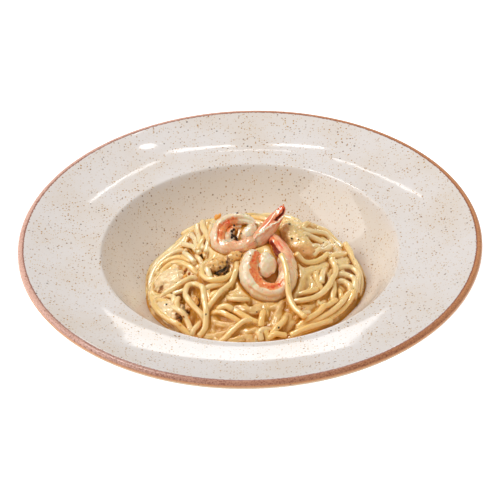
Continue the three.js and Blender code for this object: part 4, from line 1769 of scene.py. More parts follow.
@dataclass
class Flesh:
    """A curled piece of peeled flesh: knots of place and radius, with its back on the outside.

    Its section is round, with a rolled rim at the back, a groove beside it and lumpy flesh inside.
    """

    knots: Knots
    facing: Triple
    seam: float = 62.0  # degrees from the back to the red band
    band: float = 40.0  # degrees that the band is wide
    groove: float = 0.2
    lumps: float = 0.35
    creases: float = 0.05
    segments: float = 5.0
    band_ends: tuple[float, float] = (0.04, 0.7)  # shares of its length where the band starts and fades
    pink: tuple[float, float, float] = (0.0, 0.2, 0.6)  # pinkness at start, middle and end
    sauce: tuple[float, float] = (2.0, 3.0)  # shares of its length between which it sinks in cream
    # Painted shade: a dark strip on the shaded inner side, between two shares of the length and two
    # angles.
    dark: tuple[float, float, float, float] = (2.0, 3.0, 0.0, 0.0)  # dark strip: shares, degrees
    inside: float = 0.5  # redness of the flesh inside the band
    furrow: tuple[float, float, float] = (2.0, 3.0, 0.0)  # pink furrow along its back: shares, degrees
    step: float = 0.34
    sides: int = 56

    def shape(self) -> Part:
        """Build the surface.

        Its radius is the knots' radius, rounded off at both ends, times the creases between
        segments, times the section: 1 less a groove beside the rim, plus noise inside.

        Returns:
            Vertices, faces and vertex values.
        """
        dense = through(np.array(self.knots), self.step)
        line, size = dense[:, :3], dense[:, 3]
        n = len(line)
        t = np.linspace(0.0, 1.0, n)
        gone = np.linspace(0.0, np.linalg.norm(np.diff(line, axis=0), axis=1).sum(), n)
        reach = size * rounded_end(gone / size[0]) * rounded_end((gone[-1] - gone) / size[-1])
        _, out, side = frames(line, -np.array(self.facing))
        angle = np.arange(self.sides) * TURN / self.sides
        fold = np.abs((angle + math.pi) % TURN - math.pi)
        seam = math.radians(self.seam)
        phase = np.mod(t * self.segments + 0.3, 1.0)
        crease = 1.0 - self.creases * np.abs(2.0 * phase - 1.0)[:, None] ** 6 * (1.0 + np.cos(fold))[None]
        lane = bell(fold - seam - 0.22, 0.24)
        lasting = 1.0 - smooth_step(t, self.band_ends[1] - 0.15, self.band_ends[1] + 0.05)
        dip = self.groove * (lane + 0.5 * smooth_step(fold, seam, seam + 0.4))
        section = 1.0 - lasting[:, None] * dip[None]
        start, stop, at_angle = self.furrow
        run = between(t, start, start + 0.05, stop - 0.05, stop)
        furrow = run[:, None] * bell(fold[None] - math.radians(at_angle), 0.13)
        section = section - 0.12 * furrow
        points, faces = closed_sweep(line, out, side, reach[:, None] * crease * section, angle)
        rows = stations(n, self.sides)
        turned = np.concatenate([np.tile(fold, n - 2), [0.0, 0.0]])
        inner = smooth_step(turned, seam, seam + 0.5)
        bump = lattice_noise(points, 3.2, 5) * (0.6 + 0.9 * inner)
        bump = bump + 0.5 * lattice_noise(points, 1.3, 6) * inner + 0.25 * lattice_noise(points, 0.8, 8)
        away = points - line[rows]
        strength = np.minimum(1.0, np.linalg.norm(away, axis=1) / 2.0)
        points = points + unit(away) * (self.lumps * bump * strength)[:, None]
        share = t[rows]
        ragged = turned + 0.13 * lattice_noise(points, 2.6, 15) + 0.08 * lattice_noise(points, 1.0, 16)
        band = seam + math.radians(self.band)
        first, last = self.band_ends
        belly = smooth_step(ragged, seam - 0.06, seam + 0.1)
        belly = belly * (1.0 - (1.0 - self.inside) * smooth_step(ragged, band - 0.1, band + 0.3))
        belly = belly * between(share, first, first + 0.08, last - 0.12, last)
        start, stop = self.sauce
        covered = between(share, start, start + 0.1, stop, stop + 0.1)
        # Painted shade: the dark strip on the inner side.
        start, stop, low, high = self.dark
        low, high = math.radians(low), math.radians(high)
        strip = between(share, start, start + 0.04, stop - 0.04, stop)
        pink = np.interp(share, [0.0, 0.5, 1.0], self.pink)
        # Painted shade: the flesh that faces down is made pinker.
        pink = pink + 0.45 * smooth_step(-unit(away + 1e-9)[:, 2], -0.2, 0.7)
        values = {
            "belly": belly,
            "tail": pink + 0.8 * np.concatenate([furrow[1:-1].ravel(), [0.0, 0.0]]),
            "along": gone[rows],
            "streak": turned * 0.7,
            "hollow": strip * between(ragged, low, low + 0.15, high, high + 0.15),
            "cream": covered * (1.0 - smooth_step(turned, 0.7, 1.5)),
            "ridge": 0.0,
        }
        return points, faces, values


@dataclass
class TailShell:
    """A tail: a tapering shell, split along its length, with a white painted highlight on its raised edge
    and a pit in dark painted shade.
    """

    knots: Knots
    facing: Triple = (0.0, -0.804, 0.595)
    split: tuple[float, ...] = (58.0, 88.0, 128.0, 158.0)  # degrees at four shares of its length
    shares: tuple[float, ...] = (0.1, 0.48, 0.74, 0.95)
    hollow_from: float = 0.6
    step: float = 0.25
    sides: int = 96

    def shape(self) -> Part:
        """Build the surface: the knots' radius, with a ridge at the split and a groove beside it.

        Returns:
            Vertices, faces and vertex values.
        """
        dense = through(np.array(self.knots), self.step)
        line, size = dense[:, :3], dense[:, 3]
        n = len(line)
        t = np.linspace(0.0, 1.0, n)[:, None]
        blunt = np.sqrt(1.0 - np.clip((t - 0.965) / 0.035, 0.0, 1.0) ** 2)
        reach = size[:, None] * blunt * rounded_end(t / 0.1)
        _, left, front = frames(line, np.array(self.facing))
        angle = (np.arange(self.sides) * TURN / self.sides)[None]
        split = np.radians(np.interp(t, self.shares, self.split))
        split = split + 0.06 * np.sin(t * 31.0) + 0.04 * np.sin(t * 67.0 + 1.0)
        off = (angle - split + math.pi) % TURN - math.pi
        ridge = bell(off, 0.13) * between(t, 0.06, 0.16, 0.9, 0.99)
        recess = between(off, 0.0, 0.25, 1.2, 2.0) * (1.0 - smooth_step(t, 0.6, 0.9))
        opened = between(t, self.hollow_from, self.hollow_from + 0.08, 0.93, 0.97)
        pit = np.exp(-(((off + 0.42) / 0.26) ** 4)) * opened
        flutes = 0.035 * np.cos(7.0 * angle + 2.0 * np.sin(9.0 * t)) * smooth_step(t, 0.2, 0.5)
        section = 1.0 + 0.15 * ridge - 0.13 * recess - 0.42 * pit + flutes
        points, faces = closed_sweep(line, left, front, reach * section, angle[0])

        def at(grid: Array) -> Array:
            """The grid's values at the vertices."""
            grid = np.broadcast_to(grid, (n, self.sides))
            return np.concatenate([grid[1:-1].ravel(), grid[:1, 0], grid[-1:, 0]])

        reddish = 0.75 + 0.25 * smooth_step(t, 0.25, 0.6) + 0.5 * smooth_step(t, 0.8, 0.97)
        reddish = reddish - 0.15 * recess + 0.8 * bell(off - 0.55, 0.14) * smooth_step(t, 0.45, 0.6)
        tip = smooth_step(t, 0.86, 0.99)
        values = {
            "belly": at(0.95 * tip + 0.25 * bell(off + 1.0, 0.3) * smooth_step(t, 0.3, 0.6)),
            "tail": at(reddish),
            "along": at(t * 26.0),
            "streak": at(angle * 1.1),
            # Painted shade in the pit, and dark stripes at the tip.
            "hollow": at(np.clip(1.15 * pit + 0.25 * tip * (np.sin(4.0 * angle) > 0.2), 0.0, 1.0)),
            "cream": 0.0,
            # Painted highlight along the raised edge.
            "ridge": at(ridge * (1.0 - 0.6 * smooth_step(t, 0.85, 0.95))),
        }
        return points, faces, values


@dataclass
class Lobe:
    """A rounded lump of flesh: an ellipsoid with noise, turned about the vertical."""

    centre: Triple
    half: Triple
    lean: float
    turn: float = 0.0
    warm_side: float = 0.0  # how far the red reaches in from its left side
    lumps: float = 0.4
    rings: int = 44
    sides: int = 64

    def shape(self) -> Part:
        """Build the surface.

        Returns:
            Vertices, faces and vertex values.
        """
        direction = ball_directions(self.rings, self.sides)
        local = direction * np.array(self.half)
        lean, turn = math.radians(self.lean), math.radians(self.turn)
        turned = np.array(Matrix.Rotation(lean, 3, "X") @ Matrix.Rotation(turn, 3, "Z"))
        points, faces = ball_mesh(local @ turned.T + np.array(self.centre))
        flat = points - np.array(self.centre)
        lump = lattice_noise(points, 4.0, 25) + 0.45 * lattice_noise(points, 1.6, 26)
        points = points + unit(flat) * (self.lumps * lump)[:, None]
        side = -flat[:, 0] / self.half[0]
        ragged = side + 0.35 * lattice_noise(points, 1.6, 27)
        values = dict.fromkeys(FLESH_VALUES, 0.0)
        values["belly"] = 0.9 * smooth_step(ragged, 1.0 - self.warm_side, 1.25 - self.warm_side)
        return points, faces, values


def ball_directions(rings: int, sides: int) -> Array:
    """Unit vectors on a grid of rings and sides from pole to pole.

    Args:
        rings: rings from pole to pole.
        sides: points round a ring.

    Returns:
        The vectors.
    """
    theta = np.linspace(0.0, math.pi, rings)[:, None]
    phi = (np.arange(sides) * TURN / sides)[None]
    level = np.ones_like(phi)
    x, y = np.sin(theta) * np.cos(phi), np.sin(theta) * np.sin(phi)
    return np.stack([x, y, np.cos(theta) * level], -1)


def ball_mesh(grid: Array) -> tuple[Array, list[Array]]:
    """Close a grid from pole to pole into a ball, with one vertex at each pole.

    Args:
        grid: points, rings by sides, the first and last ring all at their pole.

    Returns:
        Vertices and faces.
    """
    rings, sides = grid.shape[:2]
    points = np.concatenate([grid[1:-1].reshape(-1, 3), grid[:1, 0], grid[-1:, 0]])
    return points, tube_faces(rings - 2, sides, flip=True)


LEFT_SHRIMP = Topping(
    "shrimp_back_left",
    (
        Flesh(
            (
                (3.6, 19.6, 41.4, 0.9), (1.2, 21.4, 42.0, 2.2), (-3.1, 22.8, 42.5, 3.6),
                (-8.5, 22.8, 42.5, 4.3), (-13.5, 21.1, 42.0, 4.6), (-17.2, 17.2, 40.5, 4.9),
                (-18.5, 12.3, 38.5, 5.0), (-18.0, 7.1, 36.4, 4.8), (-14.1, 4.2, 35.2, 4.6),
                (-8.8, 4.0, 35.1, 4.4), (-3.5, 5.1, 35.6, 4.4), (0.7, 7.0, 36.3, 4.4),
                (4.6, 9.5, 37.2, 4.4),
            ),
            (0.0, -0.66, 0.75), seam=78.0, band=40.0, groove=0.24, lumps=0.5, band_ends=(0.16, 0.66),
            pink=(0.0, 0.3, 0.8), inside=0.85,
        ),
        Flesh(
            (
                (-4.6, 20.4, 40.2, 1.2), (-9.6, 18.4, 39.5, 2.6), (-12.4, 14.0, 37.6, 3.5),
                (-12.6, 9.2, 35.8, 3.8), (-10.0, 6.2, 34.8, 2.8),
            ),
            (0.0, -0.66, 0.75), seam=0.0, band=75.0, groove=0.0, lumps=0.7, creases=0.0,
            band_ends=(-0.2, 0.62), pink=(0.5, 0.5, 0.3), inside=0.35,
        ),
        Flesh(
            (
                (-0.6, 18.6, 41.0, 2.4), (0.9, 15.4, 39.9, 4.0), (-1.6, 12.2, 38.6, 3.9),
                (-5.0, 10.2, 37.5, 2.4),
            ),
            (0.0, -0.375, 0.927), groove=0.0, lumps=0.35, creases=0.0, band_ends=(2.0, 3.0),
            pink=(0.0, 0.0, 0.1),
        ),
        TailShell(
            (
                (0.8, 7.0, 36.2, 3.9), (4.2, 8.9, 36.6, 4.6), (7.5, 11.9, 38.0, 5.0),
                (11.6, 16.2, 40.6, 4.9), (15.9, 20.5, 44.0, 4.1), (18.9, 23.4, 47.0, 3.0),
                (20.0, 24.6, 48.9, 1.9), (20.6, 25.2, 50.1, 1.3),
            ),
        ),
        Flesh(
            ((20.5, 25.2, 49.8, 0.5), (20.6, 25.5, 50.7, 0.35), (20.3, 25.8, 51.3, 0.2)),
            (0.0, -0.804, 0.595), seam=0.0, band=300.0, groove=0.0, lumps=0.0, band_ends=(-1.0, 3.0),
            sides=12,
        ),
    ),
)

FRONT_SHRIMP = Topping(
    "shrimp_front",
    (
        Flesh(
            (
                (4.2, -6.8, 41.0, 2.4), (1.7, -10.2, 39.3, 4.9), (0.1, -14.2, 36.8, 6.1),
                (-0.4, -18.6, 34.0, 6.5), (1.5, -23.4, 30.8, 6.7), (5.6, -27.2, 28.2, 6.8),
                (10.9, -29.0, 27.0, 6.7), (16.4, -28.0, 27.6, 6.2), (20.4, -24.2, 30.1, 5.7),
                (21.8, -18.7, 32.5, 5.5), (21.5, -12.5, 34.0, 5.5), (20.6, -5.8, 35.0, 5.0),
                (17.7, 2.1, 35.6, 4.6), (15.2, 9.4, 35.4, 4.0), (13.0, 15.0, 34.6, 2.8),
            ),
            (0.0, -0.559, 0.829), seam=88.0, band=40.0, groove=0.14, lumps=0.5, segments=6.0,
            band_ends=(-0.1, 0.58), pink=(0.0, 0.35, 1.1), inside=0.62, furrow=(0.24, 0.46, 48.0),
            sauce=(0.24, 0.62), dark=(0.7, 0.93, 112.0, 165.0),
        ),
        Lobe((9.0, -14.2, 36.4), (6.3, 7.8, 4.9), lean=34.0, turn=12.0, warm_side=0.6, lumps=0.7),
    ),
)


# ---------------------------------------------------------------- mussels and the coated shrimp


@dataclass(frozen=True)
class MusselFinish(WetFood):
    """Cooked mussel meat: golden and creamy lumps and a dark frill, with brown to black painted shade in
    its dents and wrinkles.
    """

    label: str = "mussel_meat"
    roughness: float = 0.25
    sunk: float = 0.2
    reach: float = 0.0012
    film_ior: float = 1.7
    gold: Colour = colour(238, 176, 84)
    cream: Colour = colour(252, 220, 166)
    brown: Colour = colour(170, 108, 40)
    dark: Colour = colour(54, 38, 12)

    def paint(self, g: Graph, place: Value) -> dict[str, Value]:
        """Work out what varies over the surface.

        Args:
            g: the graph.
            place: position in millimetres.

        Returns:
            The signals by socket.
        """
        dark = g.attribute("dark")
        creamy = g.attribute("creamy")
        lump = g.noise(place, 1.7, 3.0, 0.6)
        fine = g.noise(place, 0.7, 2.0, 0.6)
        base = g.mix((lump * 1.2 + creamy * 0.7 - 0.4).step(0.2, 0.8), self.gold, self.cream)
        # The dark value is the frill and flecks, and painted shade in dents and wrinkles.
        base = g.mix((dark * 1.2 + (lump - 0.5) * 1.0 - 0.25 * creamy).step(0.22, 0.6), base, self.brown)
        base = g.mix((dark + (fine - 0.5) * 0.9).step(0.6, 0.95), base, self.dark)
        base = g.mix(g.grains(place, 1.8, 0.5, 0.3) * (1.0 - creamy), base, self.dark)
        normal = g.bump(lump, 0.6, 0.8)
        normal = g.bump(fine, 0.25, 0.7, normal)
        return {
            "Base Color": base,
            "Roughness": self.roughness + 0.2 * lump,
            "Coat Weight": 1.0 - 0.75 * dark.step(0.4, 0.9),
            "Normal": normal,
        }


# A feature of a mussel: the way to it (right, back, up), width in radians, rise in mm, darkness.
Feature = tuple[Triple, float, float, float]


@dataclass
class Mussel:
    """A mussel's meat: an egg with lobes, wrinkles, hollows and a dark frill along its edge."""

    at: Triple
    half: Triple
    turn: float
    pitch: float
    roll: float
    features: tuple[Feature, ...] = ()
    wrinkles: float = 0.5
    frill: float = 0.5  # darkness of the edge
    creamy: float = 0.3
    # Painted shade in the valleys between the wrinkles.
    valley_shade: float = 0.3  # darkness of the wrinkles
    rings: int = 90
    sides: int = 128

    def place(self) -> Array:
        """Rotation from the egg's own axes to the dish: pitch, then roll, then turn."""
        angles = ((self.turn, "Z"), (self.roll, "X"), (self.pitch, "Y"))
        turn, roll, pitch = (Matrix.Rotation(math.radians(angle), 3, axis) for angle, axis in angles)
        return np.array(turn @ roll @ pitch)

    def shape(self) -> Part:
        """The egg's surface moved out and in by its features and by wrinkles.

        Returns:
            Vertices, faces and vertex values.
        """
        direction = ball_directions(self.rings, self.sides)
        phi = np.arctan2(direction[..., 1], direction[..., 0])
        level = np.hypot(direction[..., 0], direction[..., 1])
        ruffle = 1.0 + 0.07 * level**6 * np.cos(9.0 * phi + 2.0 * np.sin(2.0 * phi))
        local = direction * np.array(self.half) * ruffle[..., None]
        local[..., 1] *= 1.0 + 0.16 * direction[..., 0]
        world = local @ self.place().T
        facing = unit(world)
        edge = np.maximum(smooth_step(level, 0.9, 0.995), float(self.frill >= 1.0))
        dark = self.frill * edge * np.ones_like(level)
        rise = np.zeros_like(level)
        # The features' darkness is painted shade in the dents, and the meat's dark flecks and frill.
        for way, width, height, shade in self.features:
            near = np.exp(-((np.arccos(np.clip(facing @ unit(np.array(way)), -1, 1)) / width) ** 2))
            rise = rise + height * near
            dark = np.maximum(dark, shade * near**1.5)
        seed_place = world + np.array(self.at)
        folds = 1.0 - 2.0 * np.abs(lattice_noise(seed_place, 2.6, 7))
        fine = lattice_noise(seed_place, 1.2, 8)
        rise = rise + self.wrinkles * (0.8 * folds + 0.5 * fine)
        # Painted shade: darker in the valleys between the wrinkles.
        valley = smooth_step(-(folds + 0.6 * fine), 0.0, 0.7)
        dark = np.maximum(dark, self.valley_shade * valley)
        rise = rise + 0.3 * self.wrinkles * lattice_noise(seed_place, 0.6, 9)
        rise = np.maximum(rise, -0.7 * np.linalg.norm(world, axis=-1))
        points, faces = ball_mesh(world + facing * rise[..., None] + np.array(self.at))
        values = {
            "dark": np.concatenate([dark[1:-1].ravel(), dark[:1, 0], dark[-1:, 0]]),
            "creamy": np.full(len(points), self.creamy),
        }
        return points, faces, values


@dataclass
class Roll:
    """A rolled edge of a mussel's mantle: a wavy tube along knots of place and radius."""

    knots: Knots
    dark: float
    creamy: float = 0.1
    lumps: float = 0.4
    ruffle: float = 0.0  # sideways wave, in mm
    step: float = 0.25
    sides: int = 20

    def shape(self) -> Part:
        """Build the surface: the knots' radius with noise, rounded off at both ends.

        Returns:
            Vertices, faces and vertex values.
        """
        dense = through(np.array(self.knots), self.step)
        line, size = dense[:, :3], dense[:, 3]
        gone = np.arange(len(line)) * self.step
        _, out, side = frames(line, np.array([0.0, -0.5, 0.86]))
        line = line + side * (self.ruffle * np.sin(gone * 2.2))[:, None]
        start, stop = rounded_end(gone / size[0]), rounded_end((gone[-1] - gone) / size[-1])
        angle = np.arange(self.sides) * TURN / self.sides
        points, faces = closed_sweep(line, out, side, (size * start * stop)[:, None], angle)
        rows = stations(len(line), self.sides)
        noise = lattice_noise(points, 1.9, 61) + 0.5 * lattice_noise(points, 0.8, 62)
        lump = self.lumps * noise * start[rows] * stop[rows]
        points = points + unit(points - line[rows] + 1e-9) * lump[:, None]
        # Painted shade: darker where the lumps dip in.
        dark = np.clip(self.dark + 0.35 * smooth_step(-noise, 0.0, 0.8), 0.0, 1.2)
        return points, faces, {"dark": dark, "creamy": np.full(len(points), self.creamy)}


def meat(name: str, *parts: Mussel | Roll) -> Topping:
    """A mussel's meat made of its parts."""
    return Topping(name, parts, Slot.MUSSEL, "meat")


MUSSELS: tuple[Topping, ...] = (
    meat(
        "mussel_top",
        Mussel(
            (-20.4, -9.6, 33.2), (6.4, 4.4, 3.6), turn=20.0, pitch=-6.0, roll=20.0,
            features=(
                ((-1.4, 1.2, 3.4), 0.24, -0.8, 1.0), ((0.4, 1.6, 3.4), 0.16, -0.5, 0.9),
                ((-3.0, -3.6, -0.6), 0.5, -0.4, 0.7), ((3.0, -3.6, 0.6), 0.3, -0.7, 0.8),
                ((4.0, 1.0, 2.0), 0.35, 0.5, 0.0), ((-3.6, -0.6, 2.4), 0.4, 0.5, 0.0),
            ),
            wrinkles=0.5, frill=0.25, creamy=0.3, valley_shade=0.5,
        ),
        Mussel(
            (-10.2, -4.6, 34.8), (6.2, 3.4, 3.2), turn=32.0, pitch=-8.0, roll=10.0,
            features=(
                ((-2.0, 2.6, 2.4), 0.2, -0.4, 1.0), ((1.0, 3.0, 2.6), 0.22, -0.4, 1.1),
                ((4.6, 3.0, 2.0), 0.22, -0.2, 1.1), ((6.0, 1.0, 1.0), 0.3, -0.2, 0.8),
                ((-2.6, -1.6, 2.4), 0.35, 0.6, 0.0), ((2.6, -1.6, 2.4), 0.35, 0.5, 0.0),
            ),
            wrinkles=0.5, frill=0.3, creamy=0.3, valley_shade=0.5,
        ),
        # A wholly dark egg low between the two lobes: painted shade in the cavity there.
        Mussel(
            (-16.9, -11.8, 30.6), (4.2, 4.2, 2.4), turn=10.0, pitch=0.0, roll=20.0, features=(),
            wrinkles=0.3, frill=1.0, creamy=0.0, valley_shade=1.0,
        ),
        Roll(
            (
                (-11.6, -6.4, 33.6, 1.4), (-10.6, -9.4, 33.2, 2.0), (-11.0, -12.6, 31.8, 2.1),
                (-13.4, -15.8, 30.0, 2.0), (-17.4, -17.0, 28.8, 2.0), (-21.6, -15.2, 28.8, 1.7),
                (-24.6, -12.4, 29.4, 1.2),
            ),
            dark=0.3, creamy=0.25,
        ),
        Roll(
            (
                (-13.6, -8.0, 35.0, 0.7), (-13.0, -11.2, 34.3, 0.8), (-13.6, -14.0, 33.0, 0.8),
                (-15.8, -15.8, 31.9, 0.8), (-18.6, -15.2, 31.6, 0.7),
            ),
            dark=0.78, creamy=0.0, lumps=0.2, ruffle=0.4,
        ),
    ),
    meat(
        "mussel_left",
        Mussel(
            (-48.2, -11.2, 22.8), (10.0, 7.6, 4.8), turn=28.0, pitch=-26.0, roll=4.0,
            features=(
                ((-6.0, -6.4, -0.6), 0.5, -2.4, 0.75), ((4.0, -3.0, 4.0), 0.45, 1.0, 0.0),
                ((-4.0, 1.0, 4.0), 0.4, 0.8, 0.0), ((-1.0, -5.0, 3.0), 0.3, -0.8, 0.25),
            ),
            wrinkles=0.45, frill=0.15, creamy=0.95,
        ),
    ),
    meat(
        "mussel_front_left",
        Mussel(
            (-46.4, -34.4, 19.2), (12.0, 6.8, 4.6), turn=-48.0, pitch=0.0, roll=24.0,
            features=(
                ((5.0, -8.0, 1.6), 0.4, -1.0, 0.85), ((3.0, -6.0, 3.2), 0.16, 0.6, 0.9),
                ((-3.0, 1.0, 4.0), 0.5, 0.9, 0.0),
            ),
            wrinkles=0.5, frill=0.5, creamy=0.8,
        ),
    ),
    meat(
        "mussel_small",
        Mussel(
            (-34.4, -34.2, 24.0), (5.2, 3.8, 3.3), turn=62.0, pitch=-20.0, roll=0.0,
            features=(((0.0, -2.0, 2.6), 0.5, -1.0, 1.0), ((1.6, -2.0, 1.6), 0.3, 0.6, 0.1)),
            wrinkles=0.55, frill=0.8, creamy=0.1,
        ),
    ),
)


@dataclass(frozen=True)
class CoatedFinish(CreamFinish):
    """A thick smooth coat of cream: pale curds above, amber painted shade on its lower end."""

    label: str = "cream_coated_shrimp"
    roughness: float = 0.16
    sunk: float = 0.3
    reach: float = 0.0016
    film_roughness: float = 0.05
    amber: Colour = colour(226, 168, 98)

    def paint(self, g: Graph, place: Value) -> dict[str, Value]:
        """Work out what varies over the surface.

        Args:
            g: the graph.
            place: position in millimetres.

        Returns:
            The signals by socket.
        """
        curd = g.noise(place, 2.2, 4.0, 0.65)
        amber = g.attribute("amber")
        base = g.mix((curd * 1.1 - 0.1).step(0.25, 0.75), self.tan, self.pale)
        # Painted shade: amber on the lower end.
        base = g.mix((amber + (curd - 0.5) * 0.5).step(0.2, 0.95), base, self.amber)
        base = g.mix(g.grains(place, 2.2, 0.2, 0.16) * 0.7, base, self.grain)
        normal = g.bump(curd, 0.7, 0.8)
        return {
            "Base Color": base,
            "Roughness": self.roughness + 0.25 * curd * (1.0 - amber),
            "Coat Weight": 1.0,
            "Normal": normal,
        }


@dataclass
class Coated:
    """A piece of flesh under a thick coat of cream: curds on its upper end, smooth below."""

    flesh: Flesh

    def shape(self) -> Part:
        """The body swollen by its coat, lumpy on top.

        Returns:
            Vertices, faces and vertex values.
        """
        points, faces, _ = self.flesh.shape()
        line = through(np.array(self.flesh.knots), 0.5)[:, :3]
        nearest = line[np.argmin(((points[:, None] - line[None]) ** 2).sum(-1), axis=1)]
        rough = smooth_step(points[:, 1] + 0.8 * points[:, 2] - 0.4 * points[:, 0], 14.0, 32.0)
        lumps = 0.9 * lattice_noise(points, 3.6, 55) + 0.6 * lattice_noise(points, 1.7, 56)
        lumps = lumps + 0.35 * lattice_noise(points, 0.9, 57)
        points = points + unit(points - nearest) * (lumps * (0.35 + 0.65 * rough))[:, None]
        # The amber value is painted shade on the lower, front end.
        return points, faces, {"amber": 1.0 - rough}


COATED_SHRIMP = Topping(
    "shrimp_coated",
    (
        Coated(
            Flesh(
                (
                    (20.6, 28.4, 33.6, 4.6), (23.6, 22.4, 32.6, 5.8), (27.4, 15.4, 31.0, 6.4),
                    (31.8, 8.8, 29.4, 6.2), (36.4, 4.6, 28.0, 5.0), (39.6, 3.0, 27.0, 3.4),
                ),
                (0.0, -0.276, 0.961), groove=0.0, lumps=0.25, creases=0.02,
            ),
        ),
    ),
    Slot.COATED, "body",
)


# ---------------------------------------------------------------- flecks


@dataclass(frozen=True)
class FleckFinish:
    """A plain finish for small bits."""

    name: str
    tint: Colour
    other: Colour
    roughness: float = 0.4
    ior: float = 1.25

    def material(self) -> Material:
        """Build the finish.

        Returns:
            The flecks' material.
        """
        g = Graph(self.name)
        spot = g.noise(g.millimetres(), 0.8, 2.0, 0.6)
        base = g.mix(spot.step(0.35, 0.65), self.tint, self.other)
        varying = {"Base Color": base, "Normal": g.bump(spot, 0.1, 0.5)}
        return g.surface(varying, {"Roughness": self.roughness, "IOR": self.ior})


@dataclass
class Flecks:
    """Small bits of one kind that lie on the food."""

    name: str
    finish: FleckFinish
    slot: Slot
    # Bits placed one by one: x, y, longest half size, and a height for those that stand free.
    placed: tuple[tuple[float, ...], ...]
    scattered: int = 0
    small: tuple[float, float] = (0.16, 0.34)
    flat: float = 0.5
    inside: float = 0.93  # share of the heap's area that they are scattered over
    footing: float = 0.8  # how far away the slope under each is read
    seed: int = 5
    rings: int = 7
    sides: int = 9

    def build(self, heap: Spaghetti) -> Piece:
        """Make the bits: uneven flattened balls, sunk a little in what lies under them.

        Args:
            heap: the spaghetti, whose map they lie on.

        Returns:
            The piece.
        """
        rng = np.random.default_rng(self.seed)
        spots = list(self.placed)
        for _ in range(self.scattered):
            turn, reach = rng.uniform(0.0, TURN), math.sqrt(rng.uniform(0.0, self.inside))
            edge = float(heap.form.outline(np.array(turn))) * reach
            size = float(rng.uniform(*self.small))
            spots.append((edge * math.cos(turn), edge * math.sin(turn), size))
        whole = Shape()
        direction = ball_directions(self.rings, self.sides)
        for x, y, size, *stand in spots:
            shape = rng.uniform(0.6, 1.0, 3) * [1.0, 1.0, self.flat] * size
            knobs = 1.0 + 0.25 * lattice_noise(direction + rng.uniform(0.0, 50.0), 0.9, 3)
            spin = np.array(Matrix.Rotation(rng.uniform(0.0, TURN), 3, "Z"))
            near = self.footing
            fall_x = heap.map.sample(x + near, y) - heap.map.sample(x - near, y)
            fall_y = heap.map.sample(x, y + near) - heap.map.sample(x, y - near)
            up = unit(np.array([-fall_x / (2.0 * near), -fall_y / (2.0 * near), 1.0]))
            across = unit(np.cross([0.0, 1.0, 0.1], up))
            tilt = np.stack([across, np.cross(up, across), up], -1)
            height = stand[0] if stand else float(heap.map.sample(x, y))
            at = np.array([x, y, height]) + up * shape[2] * 0.3
            points, faces = ball_mesh((direction * knobs[..., None] * shape) @ spin.T @ tilt.T + at)
            whole.add(points, faces)
        return whole.fill(self.name, self.slot, self.finish.material())


PEPPER = Flecks(
    "pepper_flecks", FleckFinish("ground_pepper", colour(38, 26, 20), colour(84, 54, 36)),
    Slot.SPAGHETTI,
    (
        (-49, -34, 0.8), (-26, -46, 0.5), (-41, -29, 0.45), (15, -58, 1.0), (3, -45, 0.55),
        (1, -47, 0.5), (9, -50, 0.5), (-8, -34, 0.45), (-2, -33, 0.5), (-12, -31, 0.45), (44, 17, 0.6),
        (42, 26, 0.5), (51, -5, 0.5), (61, 1, 0.5), (29, -33, 0.6), (0, -14, 0.6), (24, 22, 0.8),
        (25, 12, 0.9), (29, 10, 0.6), (-7, 24, 1.0), (-9, 13, 1.5), (-10, 11, 1.7), (-8, 10, 1.6),
        (-10.6, 8.6, 1.3), (-7.5, 12, 1.2), (-9.4, 15, 1.3), (-9, 17.6, 1.0), (-6.6, 9, 1.1),
        (-5, 11, 0.6), (-10.4, 13.2, 1.2),
    ),
    scattered=150,
)

BROWNED = Flecks(
    "brown_flecks", FleckFinish("browned_bits", colour(150, 80, 34), colour(196, 112, 44)),
    Slot.SPAGHETTI,
    ((-38, -6, 1.9), (-36, -9, 1.4), (-34, -11, 1.2), (-42, -45, 1.2), (-39, -44, 0.9), (7, 17, 0.6)),
    scattered=260, small=(0.12, 0.3), seed=8,
)

ORANGE = Flecks(
    "orange_bits",
    FleckFinish("orange_seafood_bits", colour(240, 150, 62), colour(250, 190, 104), 0.25), Slot.SHRIMP,
    (
        (-38, -14, 2.2), (-36, -18, 1.9), (-45, -18, 0.5), (28, -20, 0.8), (-41, -48, 1.0),
        (-36, -44, 0.9), (-7, 15, 1.3), (-5, 14, 1.0), (-8, 16, 0.8), (-19.4, 25.6, 2.6, 42.6),
        (-17.6, 26.4, 1.8, 43.6),
    ),
    scattered=40, small=(0.2, 0.4), flat=0.7, seed=11,
)


# ---------------------------------------------------------------- studio


@dataclass
class Panel:
    """One soft light: a rectangle that hangs in a direction from the dish and faces it."""

    name: str
    bearing: float  # degrees round from straight behind, towards the left
    climb: float  # degrees above the table
    distance: float  # metres
    size: tuple[float, float]  # metres, across and up
    power: float  # watts
    tint: Colour = (1.0, 1.0, 1.0)
    turn: float = 0.0  # degrees about the line to the dish
    mirrored: bool = True  # whether the glaze mirrors it

    def hang(self) -> None:
        """Add the light to the scene."""
        lamp = bpy.data.lights.new(self.name, "AREA")
        lamp.shape = "RECTANGLE"
        lamp.size, lamp.size_y = self.size
        lamp.energy = self.power
        lamp.color = self.tint
        holder = bpy.data.objects.new(self.name, lamp)
        turn, climb = math.radians(90.0 + self.bearing), math.radians(self.climb)
        level = math.cos(climb)
        away = Vector((math.cos(turn) * level, math.sin(turn) * level, math.sin(climb)))
        holder.location = away * self.distance + Vector((0.0, 0.0, 0.03))
        facing = away.to_track_quat("Z", "Y") @ Quaternion((0.0, 0.0, 1.0), math.radians(self.turn))
        holder.rotation_euler = facing.to_euler()
        holder.visible_glossy = self.mirrored
        bpy.context.scene.collection.objects.link(holder)


